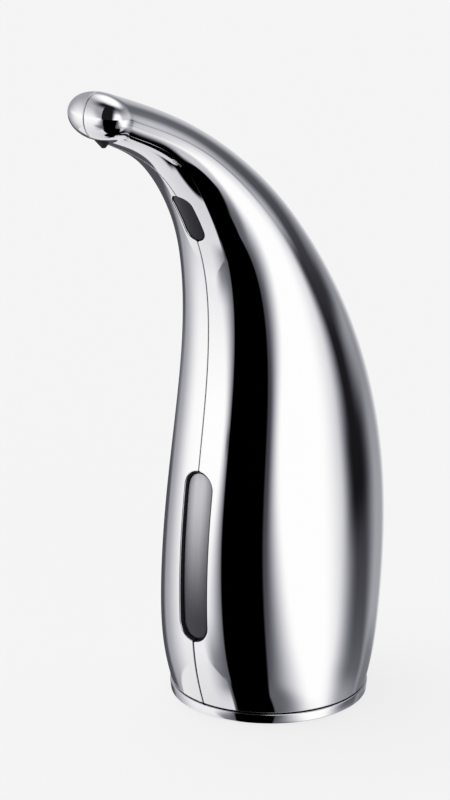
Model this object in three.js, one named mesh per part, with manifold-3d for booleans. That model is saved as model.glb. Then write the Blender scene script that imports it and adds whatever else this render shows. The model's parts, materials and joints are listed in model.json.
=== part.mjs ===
// Automatic soap dispenser with a horn-shaped chrome body. Millimetres, +Z up.
// The nose points toward -Y, and the origin lies on the counter under the centre of the round base.
import * as THREE from 'three';
import { mergeVertices } from 'three/addons/utils/BufferGeometryUtils.js';
import Module from 'manifold-3d';

const wasm = await Module();
wasm.setup();

// Clearances
const fitGap = 0.3; // between pieces that touch or seat on each other
const runGap = 0.6; // beside a turning gear
const overrun = 6; // how far a cut runs past the faces that it opens
const mergeTolerance = 0.01; // facets flatter than this are merged

// Horn-shaped body
const hornRise = 214;
const noseDepth = 7.2;
const shellWall = 2;
const tongueReach = 1.2;

// Windows and nozzle in the body
const sightWidth = 12;
const sightBottom = 28;
const sightTop = 87;
const sightLip = 2;
const sightThick = 1.2;
const sensorWidth = 8;
const sensorLength = 18.6;
const sensorRecess = 0.5;
const nozzleSetback = 1;
const nozzleSleeve = 2.3;
const nozzleBore = 0.9;
const nozzleRim = 3;
const nozzleFlare = 6;
const nozzleTipRadius = 1.2;
const nozzleDrop = 3.2;
const nozzleSeat = 1.5;

// Base: foot pad, plate and trim ring
const footThick = 0.7;
const footWidth = 5.8;
const footWeb = 6.4;
const plateThick = 1.6;
const ringOverhang = 0.5;
const ringWall = 1.6;
const flangeThick = 1.1;
const flangeWidth = 5.3;
const bossInset = 4.4;
const bossRadius = 2.8;
const bossHeight = 10.4;
const screwRadius = 1;
const screwHeadRadius = 2.5;
const screwHeadThick = 1;
const screwLength = 10;
const pinRadius = 1.5;
const pinReach = 5;
const postRadius = 3.2;
const postInset = 7;
const ribThick = 1.4;
const ribDepth = 3;

// Batteries, their box and contacts
const batteryRadius = 5.25;
const batteryLength = 44.5;
const batteryNubRadius = 2;
const batteryNub = 0.9;
const cellsCount = 4;
const cellPitch = 11.1;
const boxRoom = 0.6; // between the tank and the battery box
const baseRoom = 1.78; // between the battery box's corners and the wall
const holderWall = 1.2;
const contactThick = 0.4;
const contactWidth = 7;
const contactSlot = 3.5;
const springRadius = 2.6;
const springWire = 0.35;
const springHeight = 3;
const doorTabHeight = 3;
const doorTabWidth = 2.2;
const doorTabThick = 0.7;
const doorGrip = 12;

// Power button and its switch
const buttonRadius = 3;
const buttonFlangeRadius = 4.2;
const buttonFlangeThick = 0.8;
const buttonPost = 2;
const buttonPostHeight = 2.5;
const buttonTravel = 0.8;
const switchSize = 6;
const switchHeight = 3.5;
const plungerRadius = 1.5;
const plungerHeight = 0.7;
const switchBoardWidth = 12;
const switchBoardDepth = 8.6;
const boardThick = 1.2;

// Soap tank, lid and fill plug
const tankBack = 3.4;
const tankWall = 1.6;
const gasketThick = 0.8;
const lidThick = 2;
const portLine = 14;
const portRadius = 8.4;
const portBore = 7;
const plugRadius = 10.1;
const plugStem = 6.4;
const plugStemHeight = 7;
const plugGrip = 3;
const plugGripLength = 9;
const plugGripOut = 4.5;
const plugGripDepth = 0.9;
const sealWidth = 0.95;
const sealThick = 1.5;
const sealLift = 3;
const grooveDepth = 0.8;

// Gear pump, its motor and their frame
const gearLineX = -2;
const gearRoom = 14.6; // from the back of the tank to the gears' axis
const pumpModule = 1;
const pumpTeethCount = 9;
const driveModule = 0.6;
const reductionTeethCount = 30;
const pinionTeethCount = 10;
const driveGearThick = 3.4;
const pumpWidth = 17;
const pumpMargin = 2;
const pumpHeight = 12;
const pumpFloor = 1.6;
const pumpCoverThick = 2;
const shaftRadius = 1.5;
const nippleRadius = 2;
const nippleBore = 1.1;
const nippleLength = 5;
const framePlate = 1.6;
const frameLeg = 2;
const frameLegOut = 23;
const frameLeftReach = 14;
const motorRadius = 10;
const motorFlat = 15;
const motorLength = 25;
const motorBoss = 3;
const motorShaftRadius = 1;
const motorShaftDepth = 6;

// Hoses
const hoseRadius = 2;
const hoseBore = 1.2;
const hoseTurn = 4.6;
const elbowRadius = 2.4;
const elbowBend = 3.4;
const suctionX = -9;
const suctionY = -7;

// Boards and sensor unit
const controlWidth = 28;
const controlHeight = 20;
const controlLine = -11.7;
const uprightThick = 1.5;
const chipSize = 7;
const chipThick = 1.4;
const capacitorRadius = 3;
const capacitorLength = 7;
const connectorWidth = 7;
const connectorHeight = 4;
const connectorDepth = 5;
const connectorWall = 0.8;
const sensorHousingWidth = 9.6;
const sensorHousingLength = 21;
const sensorHousingDepth = 5.4;
const sensorHousingWall = 0.9;
const sensorHousingSink = 3;
const diodeRadius = 1.5;
const diodeLength = 3.6;
const diodeSpread = 6.2;
const ledRadius = 1;
const ribbonWidth = 4;
const ribbonThick = 0.6;

// One row for each station from the foot to the nose: front line out and up, back line out and up,
// half width. Outs and widths are shares of baseRadius, and heights are shares of hornRise.
const hornShares = [
  [-1.0, 0.0, 1.0, 0.0, 1.0],
  [-1.18, 0.087, 1.18, 0.073, 1.09],
  [-1.18, 0.293, 1.42, 0.34, 1.015],
  [-0.9, 0.529, 0.955, 0.576, 0.833],
  [-0.91, 0.681, 0.12, 0.758, 0.667],
  [-1.14, 0.774, -0.515, 0.854, 0.53],
  [-1.62, 0.874, -1.35, 0.938, 0.424],
  [-2.3, 0.919, -2.21, 0.988, 0.361],
  [-2.37, 0.927, -2.39, 0.998, 0.357],
];

// Counts and angles
const ringSidesCount = 40;
const hornSidesCount = 36;
const innerSidesCount = 20;
const hornStepsCount = 28;
const innerStepsCount = 16;
const noseStepsCount = 5;
const roundSidesCount = 24;
const smallSidesCount = 12;
const hoseSidesCount = 8;
const springSidesCount = 6;
const suctionStepsCount = 28;
const deliveryStepsCount = 36;
const ribbonStepsCount = 12;
const elbowStepsCount = 6;
const frontBossAngle = THREE.MathUtils.degToRad(30);
const backBossAngle = THREE.MathUtils.degToRad(62);
const springTurnsCount = 3;
const stepsPerTurnCount = 7;

// Places along the horn as shares of the way from foot to nose, and across it from front line to back line
const tankTopShare = 0.5033;
const sensorShare = 0.632;
const postShares = [0.12, 0.46];
const ribShares = [0.17, 0.47, 0.58];
const ribStartShare = 0.6;
const neckHoseShares = [0.42, 0.5, 0.625, 0.75, 0.85];
const hoseAcrossShare = 0.6;

// Height of the underside of the nose at the nozzle, as a share of the horn's rise
const noseUnderShare = 0.925;

// Tooth form: tip and root as shares of the module, base and crest as shares of one tooth's pitch
const toothTipShare = 0.85;
const toothRootShare = 1.15;
const toothBaseShare = 0.33;
const toothCrestShare = 0.1;

// How far a diode's lens narrows, and where the delivery hose passes the motor, as shares
const lensTaperShare = 0.8;
const hosePassShares = [0.7, 0.4];

// Plan of the base: the battery box stands behind the tank, and its corners set the radius of the base
const doorHalfLength = (cellPitch * cellsCount) / 2;
const cellHalfDepth = batteryRadius + fitGap;
const boxHalfLength = doorHalfLength + holderWall;
const cellLine = tankBack + boxRoom + holderWall + cellHalfDepth;
const boxBack = cellLine + cellHalfDepth + holderWall;
const buttonLine = boxBack + buttonFlangeRadius + fitGap;
const gearLineY = tankBack + gearRoom;
const baseRadius = Math.hypot(boxHalfLength, boxBack) + baseRoom + shellWall;
const ringRadius = baseRadius + ringOverhang;
const bossCircle = baseRadius - bossInset;

// Heights of the stack under the body
const plateBottom = footThick + fitGap;
const plateTop = plateBottom + plateThick;
const flangeBottom = plateTop + fitGap;
const ringTop = flangeBottom + flangeThick;
const shellFoot = ringTop + fitGap;
const plateRadius = ringRadius - ringWall - fitGap;
const flangeInner = ringRadius - ringWall - flangeWidth;
const footInner = plateRadius - footWidth;
const tankTop = shellFoot + hornRise * tankTopShare;
const nozzleOut = -hornShares.at(-1)[0] * baseRadius - nozzleSetback;

// Past the horn on every side, for cutting blocks
const farOut = baseRadius * 3;
const farUp = shellFoot + hornRise * 2;

const chrome = new THREE.MeshStandardMaterial({ color: 0xdcdde1, roughness: 0.05, metalness: 1 });
const blackPlastic = new THREE.MeshStandardMaterial({ color: 0x1b1b1d, roughness: 0.5, metalness: 0 });
const whitePlastic = new THREE.MeshStandardMaterial({ color: 0xd8d8d4, roughness: 0.5, metalness: 0 });
const smokedClear = new THREE.MeshStandardMaterial({ color: 0x7d7e84, roughness: 0.12, metalness: 0 });
const tankClear = new THREE.MeshStandardMaterial({ color: 0xb9bcc2, roughness: 0.25, metalness: 0 });
const darkLens = new THREE.MeshStandardMaterial({ color: 0x35333a, roughness: 0.12, metalness: 0 });
const blackRubber = new THREE.MeshStandardMaterial({ color: 0x141415, roughness: 0.75, metalness: 0 });
const greyRubber = new THREE.MeshStandardMaterial({ color: 0x6b6b6e, roughness: 0.75, metalness: 0 });
const steel = new THREE.MeshStandardMaterial({ color: 0xb4b6ba, roughness: 0.3, metalness: 1 });
const nylon = new THREE.MeshStandardMaterial({ color: 0xe8e4d8, roughness: 0.5, metalness: 0 });
const boardGreen = new THREE.MeshStandardMaterial({ color: 0x1f6b3a, roughness: 0.5, metalness: 0 });
const batteryBlue = new THREE.MeshStandardMaterial({ color: 0x30507c, roughness: 0.4, metalness: 0 });
const hoseClear = new THREE.MeshStandardMaterial({ color: 0xcfd4d6, roughness: 0.35, metalness: 0 });
const ledWhite = new THREE.MeshStandardMaterial({ color: 0xf2f4f6, roughness: 0.2, metalness: 0 });

const dispenser = new THREE.Group();
dispenser.name = 'soap_dispenser';

// Turns a closed geometry into a solid that can be joined and cut.
function solidOf(geometry) {
  const bare = geometry.clone();
  bare.deleteAttribute('normal');
  bare.deleteAttribute('uv');
  const merged = mergeVertices(bare);
  const index = merged.index.array;
  const kept = [];
  for (let i = 0; i < index.length; i += 3) {
    const [a, b, c] = [index[i], index[i + 1], index[i + 2]];
    if (a !== b && b !== c && c !== a) kept.push(a, b, c);
  }
  const vertProperties = Float32Array.from(merged.attributes.position.array);
  const triVerts = Uint32Array.from(kept);
  return new wasm.Manifold(new wasm.Mesh({ numProp: 3, vertProperties, triVerts }));
}

// Turns a solid back into a geometry and hangs it on the dispenser under its name.
function addPiece(name, solid, material) {
  const mesh = solid.simplify(mergeTolerance).getMesh();
  const geometry = new THREE.BufferGeometry();
  geometry.setAttribute('position', new THREE.BufferAttribute(mesh.vertProperties, 3));
  geometry.setIndex(new THREE.BufferAttribute(mesh.triVerts, 1));
  geometry.computeVertexNormals();
  const piece = new THREE.Mesh(geometry, material);
  piece.name = name;
  dispenser.add(piece);
}

function block(minX, maxX, minY, maxY, minZ, maxZ) {
  const geometry = new THREE.BoxGeometry(maxX - minX, maxY - minY, maxZ - minZ);
  geometry.translate((minX + maxX) / 2, (minY + maxY) / 2, (minZ + maxZ) / 2);
  return solidOf(geometry);
}

// A round bar between two points.
function rod(radius, from, to, sides = roundSidesCount, endRadius = radius) {
  const along = to.clone().sub(from);
  const geometry = new THREE.CylinderGeometry(endRadius, radius, along.length(), sides);
  const turn = new THREE.Quaternion().setFromUnitVectors(new THREE.Vector3(0, 1, 0), along.normalize());
  geometry.applyQuaternion(turn);
  const middle = from.clone().add(to).multiplyScalar(0.5);
  geometry.translate(middle.x, middle.y, middle.z);
  return solidOf(geometry);
}

function uprightRod(radius, x, y, minZ, maxZ, sides = roundSidesCount) {
  return rod(radius, new THREE.Vector3(x, y, minZ), new THREE.Vector3(x, y, maxZ), sides);
}

// A thin upright bar, with fewer sides.
function pin(radius, x, y, minZ, maxZ) {
  return uprightRod(radius, x, y, minZ, maxZ, smallSidesCount);
}

// A closed outline of radius and height pairs, revolved about the upright axis at x and y.
function turned(profile, x, y, sides) {
  const outline = profile.map(([radius, height]) => new THREE.Vector2(radius, height));
  outline.push(outline[0].clone());
  const geometry = new THREE.LatheGeometry(outline, sides);
  geometry.rotateX(Math.PI / 2);
  geometry.translate(x, y, 0);
  return solidOf(geometry);
}

// A flat outline, as tall as its length, with round ends.
function stadium(width, length) {
  const radius = width / 2;
  const straight = length / 2 - radius;
  const outline = new THREE.Shape();
  outline.absarc(0, straight, radius, 0, Math.PI, false);
  outline.absarc(0, -straight, radius, Math.PI, Math.PI * 2, false);
  return outline;
}

function extruded(outline, depth) {
  const options = { depth, bevelEnabled: false, curveSegments: smallSidesCount / 2 };
  return new THREE.ExtrudeGeometry(outline, options);
}

function annulus(outer, inner) {
  const outline = new THREE.Shape();
  outline.absarc(0, 0, outer, 0, Math.PI * 2, false);
  const hole = new THREE.Path();
  hole.absarc(0, 0, inner, 0, Math.PI * 2, true);
  outline.holes.push(hole);
  return outline;
}

// A hollow tube along a path.
function tubeAlong(path, outer, inner, steps) {
  const section = annulus(outer, inner);
  const options = { steps, bevelEnabled: false, extrudePath: path, curveSegments: hoseSidesCount / 2 };
  return solidOf(new THREE.ExtrudeGeometry(section, options));
}

// A hollow tube along a smooth curve through the points.
function tube(points, outer, inner, steps) {
  return tubeAlong(new THREE.CatmullRomCurve3(points, false, 'centripetal'), outer, inner, steps);
}

// One row of hornShares at a place along the horn, from 0 at the foot to 1 at the nose. The cubic
// B-spline keeps the curvature even, and its mirrored end rows make it start and end on its stations.
function hornRow(along) {
  const last = hornShares.length - 1;
  const span = Math.min(Math.floor(along * last), last - 1);
  const u = along * last - span;
  const blend = [
    (1 - u) ** 3 / 6,
    (3 * u ** 3 - 6 * u ** 2 + 4) / 6,
    (-3 * u ** 3 + 3 * u ** 2 + 3 * u + 1) / 6,
    u ** 3 / 6,
  ];
  const station = (row, column) => {
    if (row < 0) return 2 * hornShares[0][column] - hornShares[1][column];
    if (row > last) return 2 * hornShares[last][column] - hornShares[last - 1][column];
    return hornShares[row][column];
  };
  return hornShares[0].map((_, column) =>
    blend.reduce((sum, weight, k) => sum + weight * station(span + k - 1, column), 0));
}

// The oval section at a place along the horn, drawn in by inset on every side.
function hornSection(along, inset) {
  const [frontOut, frontUp, backOut, backUp, width] = hornRow(along);
  const front = new THREE.Vector2(frontOut * baseRadius, shellFoot + frontUp * hornRise);
  const back = new THREE.Vector2(backOut * baseRadius, shellFoot + backUp * hornRise);
  const centre = front.clone().add(back).multiplyScalar(0.5);
  const half = front.clone().sub(centre);
  half.setLength(half.length() - inset);
  return { centre, half, halfWidth: width * baseRadius - inset };
}

// A point inside the horn on its middle plane: across is 0 on the front line and 1 on the back line.
function hornPoint(along, across, inset = 0) {
  const { centre, half } = hornSection(along, inset);
  const place = centre.clone().addScaledVector(half, 1 - 2 * across);
  return new THREE.Vector3(0, place.x, place.y);
}

function sectionRing({ centre, half, halfWidth }, sides, shrink = 1) {
  const ring = [];
  for (let k = 0; k < sides; k += 1) {
    const turn = (Math.PI * 2 * k) / sides;
    const y = centre.x + half.x * shrink * Math.cos(turn);
    const z = centre.y + half.y * shrink * Math.cos(turn);
    ring.push([halfWidth * shrink * Math.sin(turn), y, z]);
  }
  return ring;
}

// Skins a stack of rings, closes the first with a fan and the last with a fan to the tip.
function skinned(rings, tip) {
  const sides = rings[0].length;
  const points = rings.flat();
  const triangles = [];
  for (let r = 0; r + 1 < rings.length; r += 1) {
    for (let k = 0; k < sides; k += 1) {
      const a = r * sides + k;
      const b = r * sides + ((k + 1) % sides);
      triangles.push(a, b, a + sides, b, b + sides, a + sides);
    }
  }
  const first = rings[0].reduce((sum, p) => sum.map((v, i) => v + p[i] / sides), [0, 0, 0]);
  const firstIndex = points.push(first) - 1;
  const tipIndex = points.push(tip) - 1;
  const lastRing = (rings.length - 1) * sides;
  for (let k = 0; k < sides; k += 1) {
    const next = (k + 1) % sides;
    triangles.push(firstIndex, next, k);
    triangles.push(tipIndex, lastRing + k, lastRing + next);
  }
  const geometry = new THREE.BufferGeometry();
  geometry.setAttribute('position', new THREE.Float32BufferAttribute(points.flat(), 3));
  geometry.setIndex(triangles);
  return solidOf(geometry);
}

// A section of the round nose, from its widest one at 0 to the tip at a quarter turn.
function noseSection(turn, inset) {
  const section = hornSection(1, inset);
  const forward = new THREE.Vector2(section.half.y, -section.half.x).normalize();
  section.centre.addScaledVector(forward, (noseDepth - inset) * Math.sin(turn));
  return section;
}

// The whole horn as one solid, drawn in by inset, with its foot lengthened downward by drop.
function horn(inset, drop = 0, sides = innerSidesCount, steps = innerStepsCount) {
  const rings = [];
  const foot = hornSection(0, inset);
  foot.centre.y -= drop;
  rings.push(sectionRing(foot, sides));
  const firstStep = drop > 0 ? 0 : 1;
  for (let i = firstStep; i <= steps; i += 1) {
    rings.push(sectionRing(hornSection(i / steps, inset), sides));
  }
  for (let j = 1; j < noseStepsCount; j += 1) {
    const turn = (Math.PI / 2) * (j / noseStepsCount);
    rings.push(sectionRing(noseSection(turn, inset), sides, Math.cos(turn)));
  }
  const tip = noseSection(Math.PI / 2, inset).centre;
  return skinned(rings, [0, tip.x, tip.y]);
}

// The part of the horn between two insets, such as a wall or a window pane.
function hornLayer(outerInset, innerInset) {
  return horn(outerInset, overrun).subtract(horn(innerInset, overrun * 2));
}

// A slice of the horn's inside in front of a flat back, between two heights.
function frontSlice(inset, backY, minZ, maxZ) {
  return horn(inset, overrun).intersect(block(-farOut, farOut, -farOut, backY, minZ, maxZ));
}

// A bar with round ends that runs through the front wall at the sight window.
function sightBar(grow) {
  const outline = stadium(sightWidth + 2 * grow, sightTop - sightBottom + 2 * grow);
  const geometry = extruded(outline, baseRadius);
  geometry.rotateX(Math.PI / 2);
  geometry.translate(0, -baseRadius / 2, (sightTop + sightBottom) / 2);
  return solidOf(geometry);
}

// The frame that the sensor unit is drawn in: x across, y up along the neck, z out through the wall.
function sensorFrame() {
  const step = 1 / hornStepsCount;
  const below = hornPoint(sensorShare - step, 0);
  const above = hornPoint(sensorShare + step, 0);
  const along = above.clone().sub(below).normalize();
  const across = new THREE.Vector3(1, 0, 0);
  const out = across.clone().cross(along);
  const frame = new THREE.Matrix4().makeBasis(across, along, out);
  frame.setPosition(hornPoint(sensorShare, 0));
  return frame;
}

function sensorBar(grow) {
  const outline = stadium(sensorWidth + 2 * grow, sensorLength + 2 * grow);
  const geometry = extruded(outline, overrun * 2);
  geometry.translate(0, 0, -overrun);
  geometry.applyMatrix4(sensorFrame());
  return solidOf(geometry);
}

function sensorBlock(halfX, minY, maxY, minZ, maxZ) {
  const geometry = new THREE.BoxGeometry(halfX * 2, maxY - minY, maxZ - minZ);
  geometry.translate(0, (minY + maxY) / 2, (minZ + maxZ) / 2);
  geometry.applyMatrix4(sensorFrame());
  return solidOf(geometry);
}

// The four places of the base screws, on one circle.
function bossPlaces() {
  const places = [];
  for (const side of [-1, 1]) {
    const frontX = side * bossCircle * Math.cos(frontBossAngle);
    const backX = side * bossCircle * Math.cos(backBossAngle);
    places.push([frontX, -bossCircle * Math.sin(frontBossAngle)]);
    places.push([backX, bossCircle * Math.sin(backBossAngle)]);
  }
  return places;
}

// Everything on one side of the split plane, from a distance to it outward.
function sideSpace(side, from) {
  const inner = side * from;
  const outer = side * farOut;
  return block(Math.min(inner, outer), Math.max(inner, outer), -farOut, farOut, 0, farUp);
}

// A skin half: wall, inner ribs, alignment posts and screw bosses, all inside the outer surface.
function shellHalf(side, isTongueSide) {
  const skin = horn(0, 0, hornSidesCount, hornStepsCount);
  const inside = horn(shellWall / 2, 0);
  let half = skin.subtract(horn(shellWall, overrun));
  for (const along of ribShares) {
    const rib = hornLayer(shellWall / 2, shellWall + ribDepth);
    const start = hornPoint(along, ribStartShare);
    const band = block(-farOut, farOut, start.y, farOut, start.z, start.z + ribThick);
    half = half.add(rib.intersect(band));
  }
  for (const along of postShares) {
    const place = hornPoint(along, 1, postInset);
    const far = new THREE.Vector3(side * farOut, place.y, place.z);
    half = half.add(rod(postRadius, place, far, smallSidesCount).intersect(inside));
  }
  for (const [x, y] of bossPlaces()) {
    const boss = pin(bossRadius, x, y, shellFoot, shellFoot + bossHeight);
    const bore = pin(screwRadius + fitGap, x, y, shellFoot - overrun, shellFoot + bossHeight - ribThick);
    half = half.add(boss.intersect(inside)).subtract(bore);
  }
  half = half.intersect(sideSpace(side, fitGap / 2));
  half = half.subtract(sightBar(0)).subtract(sensorBar(0)).subtract(nozzlePassage());
  return isTongueSide ? withTongue(half, side) : withRebate(half, side);
}

// The lip on the inner half of the wall that reaches over the split plane.
function withTongue(half, side) {
  const lip = hornLayer(shellWall / 2 + fitGap, shellWall);
  const reach = side * tongueReach;
  const root = side * shellWall;
  const band = block(Math.min(-reach, root), Math.max(-reach, root), -farOut, farOut, shellFoot, farUp);
  const cuts = sightBar(0).add(sensorBar(0)).add(nozzlePassage());
  let joined = half.add(lip.intersect(band).subtract(cuts));
  for (const along of postShares) {
    const place = hornPoint(along, 1, postInset);
    const near = new THREE.Vector3(side * shellWall, place.y, place.z);
    const far = new THREE.Vector3(-side * pinReach, place.y, place.z);
    joined = joined.add(rod(pinRadius, near, far, smallSidesCount));
  }
  return joined;
}

// The step in the other half that takes the lip, and the sockets for the pins.
function withRebate(half, side) {
  const step = hornLayer(shellWall / 2, shellWall + fitGap);
  const depth = side * (tongueReach + fitGap);
  const front = -side * shellWall;
  const band = block(Math.min(depth, front), Math.max(depth, front), -farOut, farOut, 0, farUp);
  let cut = half.subtract(step.intersect(band));
  for (const along of postShares) {
    const place = hornPoint(along, 1, postInset);
    const near = new THREE.Vector3(-side * shellWall, place.y, place.z);
    const far = new THREE.Vector3(side * (pinReach + fitGap), place.y, place.z);
    cut = cut.subtract(rod(pinRadius + fitGap, near, far, smallSidesCount));
  }
  return cut;
}

// The round way for the nozzle's sleeve through the underside of the nose.
function nozzlePassage() {
  const middle = shellFoot + hornRise * noseUnderShare;
  return pin(nozzleSleeve + fitGap, 0, -nozzleOut, middle - overrun, middle + shellWall * 3);
}

function addShells() {
  addPiece('left_shell', shellHalf(-1, false), chrome);
  addPiece('right_shell', shellHalf(1, true), chrome);
}

function addWindows() {
  const paneOuter = shellWall + fitGap;
  const pane = hornLayer(paneOuter, paneOuter + sightThick).intersect(sightBar(sightLip));
  addPiece('sight_window', pane, smokedClear);
  const lens = hornLayer(sensorRecess, shellWall + fitGap).intersect(sensorBar(-fitGap));
  addPiece('sensor_window', lens, darkLens);
}

function addNozzle() {
  const under = hornPoint(1, 0).z;
  const top = under + shellWall + fitGap * 2;
  const tip = under - nozzleDrop;
  const low = new THREE.Vector3(0, -nozzleOut, tip);
  const high = new THREE.Vector3(0, -nozzleOut, top);
  const cone = rod(nozzleTipRadius, low, high, smallSidesCount, nozzleFlare).subtract(horn(-fitGap, 0));
  const sleeve = pin(nozzleSleeve, 0, -nozzleOut, under - nozzleSeat, top);
  const bore = pin(nozzleBore, 0, -nozzleOut, tip - overrun, top + overrun);
  const rim = pin(nozzleRim, 0, -nozzleOut, tip - overrun, top + overrun);
  addPiece('nozzle', cone.intersect(rim).add(sleeve).subtract(bore), blackRubber);

  const foot = new THREE.Vector3(0, -nozzleOut, top + fitGap);
  const corner = foot.clone();
  corner.z += elbowBend;
  const end = corner.clone();
  end.y += elbowBend;
  const bend = new THREE.QuadraticBezierCurve3(foot, corner, end);
  addPiece('nozzle_elbow', tubeAlong(bend, elbowRadius, hoseBore, elbowStepsCount), whitePlastic);
  return end;
}

function cellX(k) {
  return (k - (cellsCount - 1) / 2) * cellPitch;
}

function cellOpening(grow, minZ, maxZ) {
  const halfX = doorHalfLength + grow;
  return block(-halfX, halfX, cellLine - cellHalfDepth - grow, cellLine + cellHalfDepth + grow, minZ, maxZ);
}

function addBase() {
  const innerRadius = ringRadius - ringWall;
  const ringProfile = [
    [ringRadius, footThick],
    [ringRadius, ringTop],
    [flangeInner, ringTop],
    [flangeInner, flangeBottom],
    [innerRadius, flangeBottom],
    [innerRadius, footThick],
  ];
  let ring = turned(ringProfile, 0, 0, ringSidesCount);
  let plate = uprightRod(plateRadius, 0, 0, plateBottom, plateTop, ringSidesCount);
  let pad = uprightRod(plateRadius - fitGap, 0, 0, 0, footThick, ringSidesCount);
  pad = pad.subtract(uprightRod(footInner, 0, 0, -overrun, footThick + overrun, ringSidesCount));
  const webHalf = footWeb / 2;
  pad = pad.add(block(-footInner - webHalf, footInner + webHalf, -webHalf, webHalf, 0, footThick));
  for (const [x, y] of bossPlaces()) {
    const hole = pin(screwRadius + fitGap, x, y, -overrun, ringTop + overrun);
    const headTop = plateBottom + screwHeadThick + fitGap;
    const head = pin(screwHeadRadius + fitGap, x, y, -overrun, headTop);
    ring = ring.subtract(hole);
    plate = plate.subtract(hole).subtract(head);
    pad = pad.subtract(head);
  }
  const doorWay = cellOpening(0, -overrun, plateTop + overrun);
  const plugWay = uprightRod(plugRadius + fitGap, 0, -portLine, -overrun, plateTop + overrun);
  const buttonWay = uprightRod(buttonRadius + fitGap, 0, buttonLine, -overrun, plateTop + overrun);
  addPiece('base_ring', ring, chrome);
  addPiece('base_plate', plate.subtract(doorWay).subtract(plugWay).subtract(buttonWay), blackPlastic);
  addPiece('foot_pad', pad.subtract(doorWay).subtract(plugWay), greyRubber);
}

function addScrews() {
  bossPlaces().forEach(([x, y], k) => {
    const headTop = plateBottom + screwHeadThick;
    const head = pin(screwHeadRadius, x, y, plateBottom, headTop);
    const shank = pin(screwRadius, x, y, headTop - fitGap, headTop + screwLength);
    addPiece(`base_screw_${k + 1}`, head.add(shank), steel);
  });
}

// Heights inside the battery box, from the door up
const doorContactBottom = plateTop + fitGap;
const doorContactTop = doorContactBottom + contactThick;
const springAllowance = springHeight + 2 * fitGap;
const topContactBottom = doorContactTop + fitGap + batteryLength + springAllowance;
const holderCeiling = topContactBottom + contactThick + fitGap;
const holderTop = holderCeiling + holderWall;
const switchBottom = plateTop + fitGap + buttonFlangeThick + buttonPostHeight + fitGap + buttonTravel;
const switchBoardBottom = switchBottom + plungerHeight + switchHeight + fitGap;
const shelfBottom = switchBoardBottom + boardThick + fitGap;

function addBatteryHolder() {
  const outer = cellOpening(holderWall, shellFoot, holderTop);
  const inner = cellOpening(0, shellFoot - overrun, holderCeiling);
  const shelfHalf = switchBoardWidth / 2 + fitGap + holderWall;
  const shelf = block(-shelfHalf, shelfHalf, boxBack - holderWall / 2, boxBack + switchBoardDepth + fitGap,
    shelfBottom, shelfBottom + holderWall);
  let box = outer.add(shelf).subtract(inner);
  const slotHalf = contactSlot / 2;
  for (let k = 0; k < cellsCount; k += 1) {
    const slot = block(cellX(k) - slotHalf, cellX(k) + slotHalf, cellLine - slotHalf, cellLine + slotHalf,
      holderCeiling - fitGap, holderTop + overrun);
    box = box.subtract(slot);
  }
  addPiece('battery_holder', box, blackPlastic);
}

// A cylindrical cell with its raised terminal, nub up or nub down.
function addBattery(number, x, minZ, nubUp) {
  const maxZ = minZ + batteryLength;
  const canBottom = nubUp ? minZ : minZ + batteryNub;
  const canTop = nubUp ? maxZ - batteryNub : maxZ;
  const can = uprightRod(batteryRadius, x, cellLine, canBottom, canTop, roundSidesCount);
  const nub = pin(batteryNubRadius, x, cellLine, minZ, maxZ);
  const keep = nubUp ? [maxZ - batteryNub * 2, maxZ] : [minZ, minZ + batteryNub * 2];
  const end = block(x - batteryRadius, x + batteryRadius, cellLine - batteryRadius, cellLine + batteryRadius,
    ...keep);
  addPiece(`battery_${number}`, can.add(nub.intersect(end)), batteryBlue);
}

// A coil of wire between two heights.
function addContactSpring(number, x, minZ) {
  const points = [];
  const stepsCount = springTurnsCount * stepsPerTurnCount;
  for (let i = 0; i <= stepsCount; i += 1) {
    const turn = (Math.PI * 2 * i) / stepsPerTurnCount;
    const rise = springWire + (springHeight - 2 * springWire) * (i / stepsCount);
    points.push(new THREE.Vector3(
      x + springRadius * Math.cos(turn), cellLine + springRadius * Math.sin(turn), minZ + rise));
  }
  const wire = new THREE.Shape();
  wire.absarc(0, 0, springWire, 0, Math.PI * 2, false);
  const path = new THREE.CatmullRomCurve3(points);
  const options = {
    steps: stepsCount,
    bevelEnabled: false,
    extrudePath: path,
    curveSegments: springSidesCount / 2,
  };
  addPiece(`contact_spring_${number}`, solidOf(new THREE.ExtrudeGeometry(wire, options)), steel);
}

function contactPlate(minX, maxX, minZ) {
  const half = contactWidth / 2;
  return block(minX, maxX, cellLine - half, cellLine + half, minZ, minZ + contactThick);
}

function addBatteries() {
  const half = contactWidth / 2;
  const bottom = doorContactTop + fitGap;
  for (let k = 0; k < cellsCount; k += 1) {
    const nubUp = k % 2 === 0;
    addBattery(k + 1, cellX(k), nubUp ? bottom + springAllowance - fitGap : bottom, nubUp);
    addContactSpring(k + 1, cellX(k), nubUp ? bottom : bottom + batteryLength + fitGap);
  }
  const outerX = cellX(cellsCount - 1);
  const innerX = outerX - cellPitch;
  addPiece('door_contact_left', contactPlate(-outerX - half, -innerX + half, doorContactBottom), steel);
  addPiece('door_contact_right', contactPlate(innerX - half, outerX + half, doorContactBottom), steel);
  addPiece('top_contact_left', contactPlate(-outerX - half, -outerX + half, topContactBottom), steel);
  addPiece('top_contact_middle', contactPlate(-innerX - half, innerX + half, topContactBottom), steel);
  addPiece('top_contact_right', contactPlate(outerX - half, outerX + half, topContactBottom), steel);
}

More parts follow.
